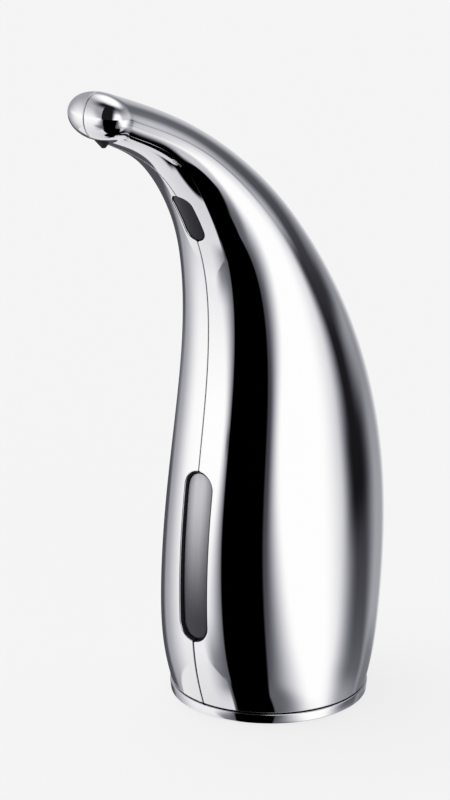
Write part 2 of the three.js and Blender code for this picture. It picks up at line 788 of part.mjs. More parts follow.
function addBatteryDoor() {
  let door = cellOpening(-fitGap, plateBottom, plateTop);
  const gripHalf = doorGrip / 2;
  const gripDepth = plateThick / 2;
  const frontEdge = cellLine - cellHalfDepth;
  door = door.subtract(block(-gripHalf, gripHalf, frontEdge + plateThick * 2, frontEdge + plateThick * 3,
    plateBottom - overrun, plateBottom + gripDepth));
  const tabHalf = doorTabWidth / 2;
  for (const side of [-1, 1]) {
    const edgeY = cellLine + side * (cellHalfDepth - fitGap);
    const innerY = edgeY - side * doorTabThick;
    for (const x of [-cellPitch, cellPitch]) {
      door = door.add(block(x - tabHalf, x + tabHalf, Math.min(edgeY, innerY), Math.max(edgeY, innerY),
        plateTop - fitGap, plateTop + doorTabHeight));
    }
  }
  addPiece('battery_door', door, blackPlastic);
}

function addPowerButton() {
  const capTop = plateTop + fitGap;
  const flangeTop = capTop + buttonFlangeThick;
  const cap = uprightRod(buttonRadius, 0, buttonLine, plateBottom, flangeTop);
  const flange = uprightRod(buttonFlangeRadius, 0, buttonLine, capTop, flangeTop);
  const post = pin(buttonPost, 0, buttonLine, capTop, flangeTop + buttonPostHeight);
  addPiece('power_button', cap.add(flange).add(post), greyRubber);

  const half = switchSize / 2;
  const bodyBottom = switchBottom + plungerHeight;
  const bodyTop = bodyBottom + switchHeight;
  const body = block(-half, half, buttonLine - half, buttonLine + half, bodyBottom, bodyTop);
  const plunger = pin(plungerRadius, 0, buttonLine, switchBottom, bodyBottom + fitGap);
  addPiece('power_switch', body.add(plunger), blackPlastic);

  const boardHalf = switchBoardWidth / 2;
  const backY = boxBack + fitGap;
  addPiece('switch_board', block(-boardHalf, boardHalf, backY, backY + switchBoardDepth, switchBoardBottom,
    switchBoardBottom + boardThick), boardGreen);
}

const tankInset = shellWall + fitGap + sightThick + fitGap;
const tankFloor = shellFoot + bossHeight + fitGap;

function addTank() {
  const outer = frontSlice(tankInset, tankBack, tankFloor, tankTop);
  const hollowInset = tankInset + tankWall;
  const hollowBack = tankBack - tankWall;
  const hollow = frontSlice(hollowInset, hollowBack, tankFloor + tankWall, tankTop + overrun);
  const neck = uprightRod(portRadius, 0, -portLine, flangeBottom, tankFloor + tankWall / 2);
  const bore = uprightRod(portBore, 0, -portLine, flangeBottom - overrun, tankFloor + tankWall + fitGap);
  addPiece('soap_tank', outer.add(neck).subtract(hollow).subtract(bore), tankClear);

  const gasketBottom = tankTop + fitGap;
  const gasketTop = gasketBottom + gasketThick;
  const gasketHole = frontSlice(hollowInset, hollowBack, gasketBottom - overrun, gasketTop + overrun);
  const gasket = frontSlice(tankInset, tankBack, gasketBottom, gasketTop).subtract(gasketHole);
  addPiece('tank_gasket', gasket, greyRubber);

  const lidBottom = gasketTop + fitGap;
  const lidTop = lidBottom + lidThick;
  const half = controlWidth / 2;
  const uprightY = controlLine + fitGap;
  const uprightTop = lidTop + controlHeight;
  const upright = block(-half, half, uprightY, uprightY + uprightThick, lidBottom + fitGap, uprightTop);
  const lidPlug = frontSlice(hollowInset + fitGap, hollowBack - fitGap, tankTop - tankWall, lidTop - fitGap);
  const hoseHole = pin(hoseRadius + fitGap, suctionX, suctionY, tankTop - overrun, lidTop + overrun);
  const lid = frontSlice(tankInset, tankBack, lidBottom, lidTop).add(lidPlug).add(upright).subtract(hoseHole);
  addPiece('tank_lid', lid, whitePlastic);
  return lidTop;
}

function addFillPlug() {
  const stemTop = plateTop + plugStemHeight;
  const sealBottom = plateTop + sealLift;
  const grooveRadius = plugStem - grooveDepth;
  const profile = [
    [0, plateBottom],
    [plugRadius, plateBottom],
    [plugRadius, plateTop],
    [plugStem, plateTop],
    [plugStem, sealBottom],
    [grooveRadius, sealBottom],
    [grooveRadius, sealBottom + sealThick + fitGap],
    [plugStem, sealBottom + sealThick + fitGap],
    [plugStem, stemTop],
    [0, stemTop],
  ];
  const gripHalf = plugGrip / 2;
  let plug = turned(profile, 0, -portLine, roundSidesCount);
  for (const side of [-1, 1]) {
    const middle = side * plugGripOut;
    plug = plug.subtract(block(middle - gripHalf, middle + gripHalf, -portLine - plugGripLength / 2,
      -portLine + plugGripLength / 2, plateBottom - overrun, plateBottom + plugGripDepth));
  }
  addPiece('fill_plug', plug, greyRubber);
  const sealInner = grooveRadius + fitGap / 2;
  const sealZ = sealBottom + fitGap / 2;
  const sealProfile = [
    [sealInner, sealZ],
    [sealInner + sealWidth, sealZ],
    [sealInner + sealWidth, sealZ + sealThick],
    [sealInner, sealZ + sealThick],
  ];
  addPiece('plug_seal', turned(sealProfile, 0, -portLine, roundSidesCount), blackRubber);
}

// A spur gear outline with straight-sided teeth; the first tooth points at toothAngle.
function gearSolid(teethCount, module, bore, x, y, minZ, maxZ, toothAngle) {
  const pitchRadius = (teethCount * module) / 2;
  const tip = pitchRadius + module * toothTipShare;
  const root = pitchRadius - module * toothRootShare;
  const flank = [
    [-toothBaseShare, root],
    [-toothCrestShare, tip],
    [toothCrestShare, tip],
    [toothBaseShare, root],
  ];
  const points = [];
  const step = (Math.PI * 2) / teethCount;
  for (let tooth = 0; tooth < teethCount; tooth += 1) {
    for (const [share, radius] of flank) {
      const turn = toothAngle + (tooth + share) * step;
      points.push(new THREE.Vector2(radius * Math.cos(turn), radius * Math.sin(turn)));
    }
  }
  const outline = new THREE.Shape(points);
  const hole = new THREE.Path();
  hole.absarc(0, 0, bore, 0, Math.PI * 2, true);
  outline.holes.push(hole);
  const geometry = extruded(outline, maxZ - minZ);
  geometry.translate(x, y, minZ);
  return solidOf(geometry);
}

// Places and heights of the pump, the gears and the motor
const pumpPitch = pumpTeethCount * pumpModule;
const idlerLineY = gearLineY + pumpPitch;
const motorLineX = gearLineX + ((reductionTeethCount + pinionTeethCount) * driveModule) / 2;
const frameBottom = holderTop + fitGap;
const pumpBottom = frameBottom + framePlate + fitGap;
const pumpTop = pumpBottom + pumpHeight;
const pumpCoverBottom = pumpTop + fitGap;
const pumpCoverTop = pumpCoverBottom + pumpCoverThick;
const driveGearBottom = pumpCoverTop + runGap;
const driveGearTop = driveGearBottom + driveGearThick;
const motorPlateBottom = driveGearTop + runGap + fitGap;
const motorPlateTop = motorPlateBottom + framePlate;
const motorBottom = motorPlateTop + fitGap;
const portLineY = (gearLineY + idlerLineY) / 2;
const portLineZ = pumpBottom + pumpHeight / 2;
const chamberRadius = pumpPitch / 2 + pumpModule * toothTipShare + fitGap;

function addPump() {
  const minX = gearLineX - pumpWidth / 2;
  const maxX = gearLineX + pumpWidth / 2;
  const minY = gearLineY - chamberRadius - pumpMargin;
  const maxY = idlerLineY + chamberRadius + pumpMargin;
  const chamberFloor = pumpBottom + pumpFloor;
  const pocketFloor = pumpBottom + pumpFloor / 2;
  let body = block(minX, maxX, minY, maxY, pumpBottom, pumpTop);
  for (const side of [-1, 1]) {
    const face = gearLineX + (side * pumpWidth) / 2;
    const root = new THREE.Vector3(face - side * pumpMargin, portLineY, portLineZ);
    const end = new THREE.Vector3(face + side * nippleLength, portLineY, portLineZ);
    body = body.add(rod(nippleRadius, root, end, smallSidesCount));
  }
  for (const y of [gearLineY, idlerLineY]) {
    body = body.subtract(uprightRod(chamberRadius, gearLineX, y, chamberFloor, pumpTop + overrun));
    body = body.subtract(pin(shaftRadius + fitGap, gearLineX, y, pocketFloor, pumpTop));
  }
  const span = pumpWidth / 2 + nippleLength + overrun;
  const portFrom = new THREE.Vector3(gearLineX - span, portLineY, portLineZ);
  const portTo = new THREE.Vector3(gearLineX + span, portLineY, portLineZ);
  body = body.subtract(rod(nippleBore, portFrom, portTo, smallSidesCount));
  addPiece('pump_body', body, whitePlastic);

  const shaftHole = pin(shaftRadius + fitGap, gearLineX, gearLineY, pumpTop, pumpCoverTop + overrun);
  const cover = block(minX, maxX, minY, maxY, pumpCoverBottom, pumpCoverTop).subtract(shaftHole);
  addPiece('pump_cover', cover, whitePlastic);

  const gearBottom = chamberFloor + fitGap;
  const gearTop = pumpTop - fitGap;
  const bore = shaftRadius + fitGap;
  const quarter = Math.PI / 2;
  const halfTooth = Math.PI / pumpTeethCount;
  const pumpGear = (lineY, toothAngle) =>
    gearSolid(pumpTeethCount, pumpModule, bore, gearLineX, lineY, gearBottom, gearTop, toothAngle);
  addPiece('pump_drive_gear', pumpGear(gearLineY, quarter), nylon);
  addPiece('pump_idler_gear', pumpGear(idlerLineY, halfTooth - quarter), nylon);
  const pinBottom = pocketFloor + fitGap;
  addPiece('idler_pin', pin(shaftRadius, gearLineX, idlerLineY, pinBottom, pumpTop), steel);
  const driveShaft = pin(shaftRadius, gearLineX, gearLineY, pinBottom, motorPlateTop);
  addPiece('drive_shaft', driveShaft, steel);
}

function addMotor() {
  const driveGear = (teethCount, bore, lineX, toothAngle) =>
    gearSolid(teethCount, driveModule, bore, lineX, gearLineY, driveGearBottom, driveGearTop, toothAngle);
  const facingGap = Math.PI + Math.PI / pinionTeethCount;
  addPiece('reduction_gear', driveGear(reductionTeethCount, shaftRadius + fitGap, gearLineX, 0), nylon);
  const pinionBore = motorShaftRadius + fitGap;
  addPiece('motor_pinion', driveGear(pinionTeethCount, pinionBore, motorLineX, facingGap), steel);
  const motorTop = motorBottom + motorLength;
  const flatHalf = motorFlat / 2;
  const flats = block(motorLineX - motorRadius * 2, motorLineX + motorRadius * 2, gearLineY - flatHalf,
    gearLineY + flatHalf, motorBottom, motorTop);
  const can = uprightRod(motorRadius, motorLineX, gearLineY, motorBottom, motorTop).intersect(flats);
  const boss = pin(motorBoss, motorLineX, gearLineY, motorPlateBottom, motorBottom + fitGap);
  const boreTop = motorBottom + motorShaftDepth;
  const bore = pin(pinionBore, motorLineX, gearLineY, motorPlateBottom - overrun, boreTop);
  addPiece('motor', can.add(boss).subtract(bore), steel);
  const shaftTop = motorBottom + motorShaftDepth - fitGap;
  addPiece('motor_shaft',
    pin(motorShaftRadius, motorLineX, gearLineY, driveGearBottom, shaftTop), steel);
}

// Two plates on four legs: the lower one stands on the battery box, the upper one carries the motor.
function addGearFrame() {
  const minY = tankBack + fitGap * 2;
  const upperMaxY = gearLineY + motorRadius + frameLeg / 2;
  const inside = horn(shellWall + fitGap, overrun);
  const minX = gearLineX - frameLeftReach;
  const lowerTop = frameBottom + framePlate;
  const lower = block(-baseRadius, baseRadius, minY, baseRadius, frameBottom, lowerTop);
  const upper = block(minX, baseRadius, minY, upperMaxY, motorPlateBottom, motorPlateTop);
  let frame = lower.add(upper);
  const legFront = minY + frameLeg;
  const legBack = upperMaxY - frameLeg;
  const legLeft = minX + frameLeg;
  const legRight = frameLegOut - frameLeg;
  for (const [x, y] of [[legLeft, legFront], [legRight, legFront], [legLeft, legBack], [legRight, legBack]]) {
    frame = frame.add(pin(frameLeg, x, y, frameBottom + fitGap, motorPlateTop - fitGap));
  }
  const holeBottom = motorPlateBottom - fitGap;
  const holeTop = motorPlateTop + fitGap;
  const shaftHole = pin(shaftRadius + fitGap, gearLineX, gearLineY, holeBottom, holeTop);
  const bossHole = pin(motorBoss + fitGap, motorLineX, gearLineY, holeBottom, holeTop);
  addPiece('gear_frame', frame.intersect(inside).subtract(shaftHole).subtract(bossHole), whitePlastic);
}

function addHoses(elbowEnd, lidTop) {
  const leftEnd = gearLineX - pumpWidth / 2 - nippleLength - fitGap;
  const rightEnd = gearLineX + pumpWidth / 2 + nippleLength + fitGap;
  const archTop = lidTop + hoseRadius * 4;
  const suctionPoints = [
    new THREE.Vector3(leftEnd, portLineY, portLineZ),
    new THREE.Vector3(leftEnd - hoseRadius, portLineY, portLineZ),
    new THREE.Vector3(leftEnd - hoseTurn, portLineY, portLineZ + hoseRadius),
    new THREE.Vector3(leftEnd - hoseTurn * 1.5, gearLineY, pumpCoverTop + hoseRadius),
    new THREE.Vector3(leftEnd - hoseTurn, gearLineY - hoseRadius * 2, motorBottom + motorLength / 2),
    new THREE.Vector3(suctionX - hoseRadius * 3, tankBack + hoseRadius, archTop - hoseRadius * 1.5),
    new THREE.Vector3(suctionX - hoseRadius / 2, suctionY + hoseRadius * 2, archTop),
    new THREE.Vector3(suctionX, suctionY, lidTop + hoseRadius),
    new THREE.Vector3(suctionX, suctionY, tankTop - tankWall),
    new THREE.Vector3(suctionX, suctionY, tankFloor + tankWall + hoseRadius),
  ];
  addPiece('suction_hose', tube(suctionPoints, hoseRadius, hoseBore, suctionStepsCount), hoseClear);

  const behindMotor = gearLineY + motorRadius + frameLeg / 2 + hoseRadius + 2 * fitGap;
  const motorBack = gearLineY + motorFlat / 2 + fitGap;
  const deliveryPoints = [
    new THREE.Vector3(rightEnd, portLineY, portLineZ),
    new THREE.Vector3(rightEnd + hoseRadius, portLineY, portLineZ),
    new THREE.Vector3(rightEnd + hoseTurn, portLineY + hoseRadius, portLineZ + hoseRadius),
    new THREE.Vector3(rightEnd + hoseTurn / 2, behindMotor - hoseRadius, pumpCoverTop),
    new THREE.Vector3(motorLineX, behindMotor, motorBottom + hoseRadius),
    new THREE.Vector3(motorLineX * hosePassShares[0], motorBack + hoseRadius * 2,
      motorBottom + motorLength / 2),
    new THREE.Vector3(motorLineX * hosePassShares[1], motorBack + hoseRadius / 2,
      motorBottom + motorLength + hoseRadius * 2),
  ];
  for (const along of neckHoseShares) {
    deliveryPoints.push(hornPoint(along, hoseAcrossShare));
  }
  const last = elbowEnd.clone();
  last.y += fitGap;
  const beforeLast = last.clone();
  beforeLast.y += hoseRadius;
  deliveryPoints.push(beforeLast, last);
  addPiece('delivery_hose', tube(deliveryPoints, hoseRadius, hoseBore, deliveryStepsCount), hoseClear);
}

function addControlBoard(lidTop) {
  const half = controlWidth / 2;
  const front = controlLine - boardThick;
  const bottom = lidTop + fitGap * 2;
  const top = bottom + controlHeight;
  addPiece('control_board', block(-half, half, front, controlLine, bottom, top), boardGreen);
  const face = front - fitGap;
  const middle = (bottom + top) / 2;
  const chipHalf = chipSize / 2;
  const chip = block(-chipHalf, chipHalf, face - chipThick, face, middle - chipHalf, middle + chipHalf);
  addPiece('control_chip', chip, blackPlastic);
  const canX = half - capacitorRadius * 1.5;
  const canFrom = new THREE.Vector3(canX, face, middle);
  const canTo = new THREE.Vector3(canX, face - capacitorLength, middle);
  addPiece('capacitor', rod(capacitorRadius, canFrom, canTo, roundSidesCount / 2), batteryBlue);
  const connectorX = (-half - chipHalf) / 2;
  const connectorHalf = connectorWidth / 2;
  const edgeRoom = connectorHeight / 2;
  const places = {
    motor_connector: bottom + edgeRoom,
    sensor_connector: top - edgeRoom - connectorHeight,
  };
  for (const [name, minZ] of Object.entries(places)) {
    const maxZ = minZ + connectorHeight;
    const mouth = face - connectorDepth;
    const shell = block(connectorX - connectorHalf, connectorX + connectorHalf, mouth, face, minZ, maxZ);
    const pocketHalf = connectorHalf - connectorWall;
    const pocket = block(connectorX - pocketHalf, connectorX + pocketHalf,
      mouth - overrun, face - connectorWall, minZ + connectorWall, maxZ - connectorWall);
    addPiece(name, shell.subtract(pocket), whitePlastic);
  }
  return new THREE.Vector3(connectorX, face - connectorDepth / 2, top - edgeRoom);
}

function addSensorUnit(cableEnd) {
  const halfX = sensorHousingWidth / 2;
  const halfY = sensorHousingLength / 2;
  const top = -sensorHousingSink;
  const back = top - sensorHousingDepth;
  const wall = sensorHousingWall;
  let housing = sensorBlock(halfX, -halfY, halfY, back, top);
  const cells = [
    [-halfY + wall, -diodeSpread + diodeRadius * 2],
    [-diodeSpread + diodeRadius * 2 + wall, diodeSpread - diodeRadius * 2 - wall],
    [diodeSpread - diodeRadius * 2, halfY - wall],
  ];
  for (const [minY, maxY] of cells) {
    housing = housing.subtract(sensorBlock(halfX - wall, minY, maxY, back - overrun, top + overrun));
  }
  addPiece('sensor_housing', housing, blackPlastic);
  const boardFace = back - fitGap;
  addPiece('sensor_board', sensorBlock(halfX, -halfY, halfY, boardFace - boardThick, boardFace), boardGreen);
  const frame = sensorFrame();
  const diode = (y, radius, length) => {
    const from = new THREE.Vector3(0, y, boardFace + fitGap).applyMatrix4(frame);
    const to = new THREE.Vector3(0, y, boardFace + fitGap + length).applyMatrix4(frame);
    return rod(radius, from, to, smallSidesCount, radius * lensTaperShare);
  };
  addPiece('ir_emitter', diode(diodeSpread, diodeRadius, diodeLength), darkLens);
  addPiece('ir_receiver', diode(0, diodeRadius, diodeLength), darkLens);
  addPiece('indicator_led', diode(-diodeSpread, ledRadius, diodeLength), ledWhite);

  const start = new THREE.Vector3(0, -halfY + ribbonWidth, boardFace - boardThick - fitGap - ribbonThick);
  start.applyMatrix4(frame);
  const swing = new THREE.Vector3(0, -halfY - ribbonWidth, boardFace - boardThick - ribbonThick * 3);
  swing.applyMatrix4(frame);
  const drop = cableEnd.clone();
  drop.z += ribbonWidth * 2;
  const end = cableEnd.clone();
  end.z += fitGap;
  const path = new THREE.CatmullRomCurve3([start, swing, drop, end]);
  const half = ribbonWidth / 2;
  const section = new THREE.Shape();
  section.moveTo(-half, -ribbonThick / 2);
  section.lineTo(half, -ribbonThick / 2);
  section.lineTo(half, ribbonThick / 2);
  section.lineTo(-half, ribbonThick / 2);
  section.closePath();
  const options = { steps: ribbonStepsCount, bevelEnabled: false, extrudePath: path };
  addPiece('sensor_cable', solidOf(new THREE.ExtrudeGeometry(section, options)), greyRubber);
}

addShells();
addWindows();
const elbowEnd = addNozzle();
addBase();
addScrews();
addBatteryHolder();
addBatteries();
addBatteryDoor();
addPowerButton();
const lidTop = addTank();
addFillPlug();
addPump();
addMotor();
addGearFrame();
addHoses(elbowEnd, lidTop);
addSensorUnit(addControlBoard(lidTop));

export default dispenser;
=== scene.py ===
# %% [markdown]
# # A chrome soap dispenser, dressed for its portrait
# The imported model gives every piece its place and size. This lesson builds the surfaces that the eye sees
# on top of it: two mirror-bright shell halves, a smoked sight window, a dark sensor window, a rubber
# nozzle and a trim ring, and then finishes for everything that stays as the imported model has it. Lengths
# are in metres.

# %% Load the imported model
import json
import math
from collections import namedtuple

import bmesh
import bpy
import numpy as np
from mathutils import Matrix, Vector

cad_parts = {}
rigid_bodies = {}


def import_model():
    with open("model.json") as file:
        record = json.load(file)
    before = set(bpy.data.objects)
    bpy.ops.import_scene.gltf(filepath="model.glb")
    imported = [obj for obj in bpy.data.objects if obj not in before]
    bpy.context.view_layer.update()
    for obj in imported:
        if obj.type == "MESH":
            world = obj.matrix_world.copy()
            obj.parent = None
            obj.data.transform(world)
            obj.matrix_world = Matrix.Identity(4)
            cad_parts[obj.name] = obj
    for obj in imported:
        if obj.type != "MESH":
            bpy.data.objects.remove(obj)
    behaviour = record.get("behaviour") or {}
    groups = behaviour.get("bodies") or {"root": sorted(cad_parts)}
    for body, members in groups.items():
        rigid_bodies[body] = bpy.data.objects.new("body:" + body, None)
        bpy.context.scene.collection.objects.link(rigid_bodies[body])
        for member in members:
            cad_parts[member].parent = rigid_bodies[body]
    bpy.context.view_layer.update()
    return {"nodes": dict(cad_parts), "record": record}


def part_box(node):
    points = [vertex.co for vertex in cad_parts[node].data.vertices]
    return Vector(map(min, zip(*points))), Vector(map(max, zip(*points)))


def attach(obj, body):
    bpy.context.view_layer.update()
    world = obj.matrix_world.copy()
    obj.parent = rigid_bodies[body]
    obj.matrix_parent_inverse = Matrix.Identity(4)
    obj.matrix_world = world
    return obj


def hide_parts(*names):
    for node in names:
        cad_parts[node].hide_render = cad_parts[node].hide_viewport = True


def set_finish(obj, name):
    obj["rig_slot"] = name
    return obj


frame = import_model()
nodes = frame["nodes"]

# %% [markdown]
# ## The camera
# The photograph looks at the dispenser's right front from a little above. A long lens keeps the verticals
# nearly parallel, so the camera stands a metre away with a narrow view. Its place was worked out from the
# oval of the base ring and from the split line, which lies in the middle plane.

# %% Place the camera
CAMERA_PLACE = (0.60096, -0.69573, 0.39346)
CAMERA_TILT = math.radians(72.419)
CAMERA_TURN = math.radians(41.744)
CAMERA_LENS = 131.455

camera_data = bpy.data.cameras.new("portrait_camera")
camera_data.lens = CAMERA_LENS
camera = bpy.data.objects.new("portrait_camera", camera_data)
camera.location = CAMERA_PLACE
camera.rotation_euler = (CAMERA_TILT, 0, CAMERA_TURN)
bpy.context.scene.collection.objects.link(camera)
bpy.context.scene.camera = camera
bpy.context.scene.view_settings.view_transform = "Standard"
camera_azimuth = math.atan2(CAMERA_PLACE[1], CAMERA_PLACE[0])
print("camera azimuth in degrees:", round(math.degrees(camera_azimuth), 2))

# %% [markdown]
# ## The horn as a formula
# The body is an oval tube that leans forward and narrows. A handful of stations give its front line, its
# back line and its width, and a cubic B-spline smooths them, so that the curvature changes evenly. That
# matters more on chrome than on any other finish, because a mirror shows every jump in curvature as a
# broken reflection. The spline meets the first and the last station and passes close to the others.
# Curves with handles would do too, but each handle would have to be tuned by hand to the same end.

# %% Write the horn's stations and its spline
BASE_RADIUS = 0.033
HORN_RISE = 0.214
SHELL_FOOT = 0.0043

# front line out and up, back line out and up, half width: shares of the base radius and of the rise
HORN_SHARES = np.array([
    [-1.0, 0.0, 1.0, 0.0, 1.0],
    [-1.18, 0.087, 1.18, 0.073, 1.09],
    [-1.18, 0.293, 1.42, 0.34, 1.015],
    [-0.9, 0.529, 0.955, 0.576, 0.833],
    [-0.91, 0.681, 0.12, 0.758, 0.667],
    [-1.14, 0.774, -0.515, 0.854, 0.53],
    [-1.62, 0.874, -1.35, 0.938, 0.424],
    [-2.3, 0.919, -2.21, 0.988, 0.361],
    [-2.37, 0.927, -2.39, 0.998, 0.357],
])


def horn_row(along):
    """One row of shares at a place along the horn, from 0 at the foot to 1 where the nose starts."""
    last = len(HORN_SHARES) - 1
    before = 2 * HORN_SHARES[0] - HORN_SHARES[1]
    after = 2 * HORN_SHARES[-1] - HORN_SHARES[-2]
    rows = np.vstack([before, HORN_SHARES, after])
    span = min(int(along * last), last - 1)
    u = along * last - span
    blend = np.array([
        (1 - u) ** 3 / 6,
        (3 * u ** 3 - 6 * u ** 2 + 4) / 6,
        (-3 * u ** 3 + 3 * u ** 2 + 3 * u + 1) / 6,
        u ** 3 / 6,
    ])
    return blend @ rows[span:span + 4]


print("stations along the horn:", len(HORN_SHARES))

# %% [markdown]
# A row of shares becomes a section: the centre, the half axis and the half width of an oval. Past the last
# station the nose closes the tube as a round end, and a short blend between the two keeps the slope even,
# because the real nose flows out of the neck without a line.

# %% Turn a row into a section
NOSE_DEPTH = 0.0072
NOSE_BLEND = (0.94, 1.26)
SLOPE_STEP = 0.0001


def plain_section(along, inset=0.0):
    """Centre and half axis in the middle plane as y and z, and half width. From 1 to 2 it closes the nose."""
    front_out, front_up, back_out, back_up, width = horn_row(min(along, 1.0))
    front = np.array([front_out * BASE_RADIUS, SHELL_FOOT + front_up * HORN_RISE])
    back = np.array([back_out * BASE_RADIUS, SHELL_FOOT + back_up * HORN_RISE])
    centre = (front + back) / 2
    half = front - centre
    half = half * (1 - inset / np.linalg.norm(half))
    half_width = width * BASE_RADIUS - inset
    if along > 1.0:
        turn = math.pi / 2 * (along - 1)
        forward = np.array([half[1], -half[0]]) / np.linalg.norm(half)
        centre = centre + forward * (NOSE_DEPTH - inset) * math.sin(turn)
        shrink = math.cos(turn)
        half = half * shrink
        half_width = half_width * shrink
    return np.array([*centre, *half, half_width])


def horn_section(along, inset=0.0):
    """The same section with the blend between neck and nose: centre, half axis and half width."""
    start, end = NOSE_BLEND
    if start < along < end:
        first, last = plain_section(start, inset), plain_section(end, inset)
        leaving = first - plain_section(start - SLOPE_STEP, inset)
        arriving = plain_section(end + SLOPE_STEP, inset) - last
        reach = np.linalg.norm(last[:2] - first[:2])
        leaving = leaving * reach / np.linalg.norm(leaving[:2])
        arriving = arriving * reach / np.linalg.norm(arriving[:2])
        u = (along - start) / (end - start)
        section = (
            (2 * u ** 3 - 3 * u ** 2 + 1) * first
            + (u ** 3 - 2 * u ** 2 + u) * leaving
            + (3 * u ** 2 - 2 * u ** 3) * last
            + (u ** 3 - u ** 2) * arriving
        )
    else:
        section = plain_section(along, inset)
    return section[:2], section[2:4], section[4]


print("half width where the nose starts:", round(horn_section(1.0)[2], 5))

# %% [markdown]
# A section and a turn round it give a point of the skin. The outward direction at that point comes from
# the two ways in which the skin runs, along the horn and around it.

# %% Find a point of the skin and its outward direction
def horn_point(along, turn, inset=0.0):
    """A point of the skin. Turn is 0 on the front line and pi on the back line, on the +X side."""
    centre, half, half_width = horn_section(along, inset)
    return np.array([
        half_width * math.sin(turn),
        centre[0] + half[0] * math.cos(turn),
        centre[1] + half[1] * math.cos(turn),
    ])


def horn_normal(along, turn):
    """The outward direction at a point of the skin, from the two directions in which the skin runs."""
    high = min(along + SLOPE_STEP, 2.0 - SLOPE_STEP)
    low = max(min(along - SLOPE_STEP, high - SLOPE_STEP), 0.0)
    rising = horn_point(high, turn) - horn_point(low, turn)
    around = horn_point(along, turn + SLOPE_STEP) - horn_point(along, turn - SLOPE_STEP)
    normal = np.cross(around, rising)
    return normal / np.linalg.norm(normal)


print("nose tip:", np.round(horn_point(2.0, 0.0), 5))

# %% [markdown]
# ## Where the windows lie on the horn
# Both windows are bars with round ends. The sight window is cut straight through the front wall, and the
# sensor window square to the neck. So each needs a middle on the skin and the direction of its long side.

# %% Place the windows
SIGHT_WIDTH = 0.012
SIGHT_BOTTOM = 0.028
SIGHT_TOP = 0.0862
SENSOR_WIDTH = 0.008
SENSOR_LENGTH = 0.0186
SENSOR_ALONG = 0.632
SENSOR_STEP = 1 / 28
SIGHT_SEARCH = (0.05, 0.5)
SENSOR_SEARCH = (0.5, 0.8)

Window = namedtuple("Window", "middle up width length search")


def sensor_axis():
    """The sensor window's middle on the skin, and the direction of its long side."""
    below = horn_point(SENSOR_ALONG - SENSOR_STEP, 0.0)
    above = horn_point(SENSOR_ALONG + SENSOR_STEP, 0.0)
    rise = above - below
    return horn_point(SENSOR_ALONG, 0.0), rise / np.linalg.norm(rise)


UP = np.array([0.0, 0.0, 1.0])
sight_middle = UP * (SIGHT_TOP + SIGHT_BOTTOM) / 2
sensor_middle, sensor_up = sensor_axis()
WINDOWS = {
    "sight": Window(sight_middle, UP, SIGHT_WIDTH, SIGHT_TOP - SIGHT_BOTTOM, SIGHT_SEARCH),
    "sensor": Window(sensor_middle, sensor_up, SENSOR_WIDTH, SENSOR_LENGTH, SENSOR_SEARCH),
}
print("windows:", ", ".join(WINDOWS))

# %% [markdown]
# To run the mesh along a window's edge, each point of its outline is found on the skin. There is no formula
# for that, so the place along the horn is halved down until the skin's height agrees with the outline's.

# %% Find a window's outline on the skin
HALVINGS = 40


def place_on_skin(window, across, reach, inset=0.0):
    """The place along the horn and the turn of a point that lies across and reach from a window's middle."""
    opening = WINDOWS[window]
    low, high = opening.search
    for _ in range(HALVINGS):
        along = (low + high) / 2
        half_width = horn_section(along, inset)[2]
        turn = math.asin(across / half_width)
        if np.dot(horn_point(along, turn, inset) - opening.middle, opening.up) < reach:
            low = along
        else:
            high = along
    return along, turn


def window_outline(window, grow, corner_steps=14, side_steps=60):
    """Half a window's outline from its lower end to its upper one: across, reach and the way out of it."""
    opening = WINDOWS[window]
    radius = opening.width / 2 + grow
    straight = opening.length / 2 - opening.width / 2
    quarter = [math.pi / 2 * k / corner_steps for k in range(corner_steps + 1)]
    points = []
    for turn in quarter:
        out_x, out_up = math.sin(turn), -math.cos(turn)
        points.append((radius * out_x, -straight + radius * out_up, out_x, out_up))
    for k in range(1, side_steps):
        points.append((radius, -straight + 2 * straight * k / side_steps, 1.0, 0.0))
    for turn in quarter:
        out_x, out_up = math.cos(turn), math.sin(turn)
        points.append((radius * out_x, straight + radius * out_up, out_x, out_up))
    return points


window_spans = []
for name in WINDOWS:
    outline = window_outline(name, 0.0)
    window_spans.append(tuple(place_on_skin(name, 0.0, end[1])[0] for end in (outline[0], outline[-1])))
    print(name, "window runs along the horn from", [round(v, 4) for v in window_spans[-1]])

# %% [markdown]
# ## The shell halves
# Each half is a wall two millimetres thick. A boolean cut would leave long thin faces beside the windows,
# and chrome shows those as streaks. So the mesh is laid row by row instead, and the rows beside a window
# start on its outline, each at its own place along the horn. The split between the halves is a little
# wider below the sight window than above it, as in the photograph.

# %% List the rows of a half
SPLIT_HALF = 0.00012
FOOT_SPLIT_HALF = 0.00026
SEAM_EDGE = 0.0002
WINDOW_EDGE = 0.0004
FOOT_RADIUS = 0.0004
FOOT_REACH = 0.001
EDGE_STEPS = 4
BODY_ROWS = 230
NOSE_ROWS = 48
NOSE_LAST = 1.99
ROW_GAP = 0.0005
ROW_TOUCH = 0.000001

Row = namedtuple("Row", "along start out up edge inset tilt")


def split_half(along):
    """Half the gap between the halves, which is a little wider under the sight window than above it."""
    return np.interp(along, window_spans[0], (FOOT_SPLIT_HALF, SPLIT_HALF))


def seam_row(along, inset=0.0, tilt=math.pi / 2):
    """A row that starts at the split and rounds its edge sideways."""
    return Row(along, None, (1.0, 0.0), UP, SEAM_EDGE, inset, tilt)


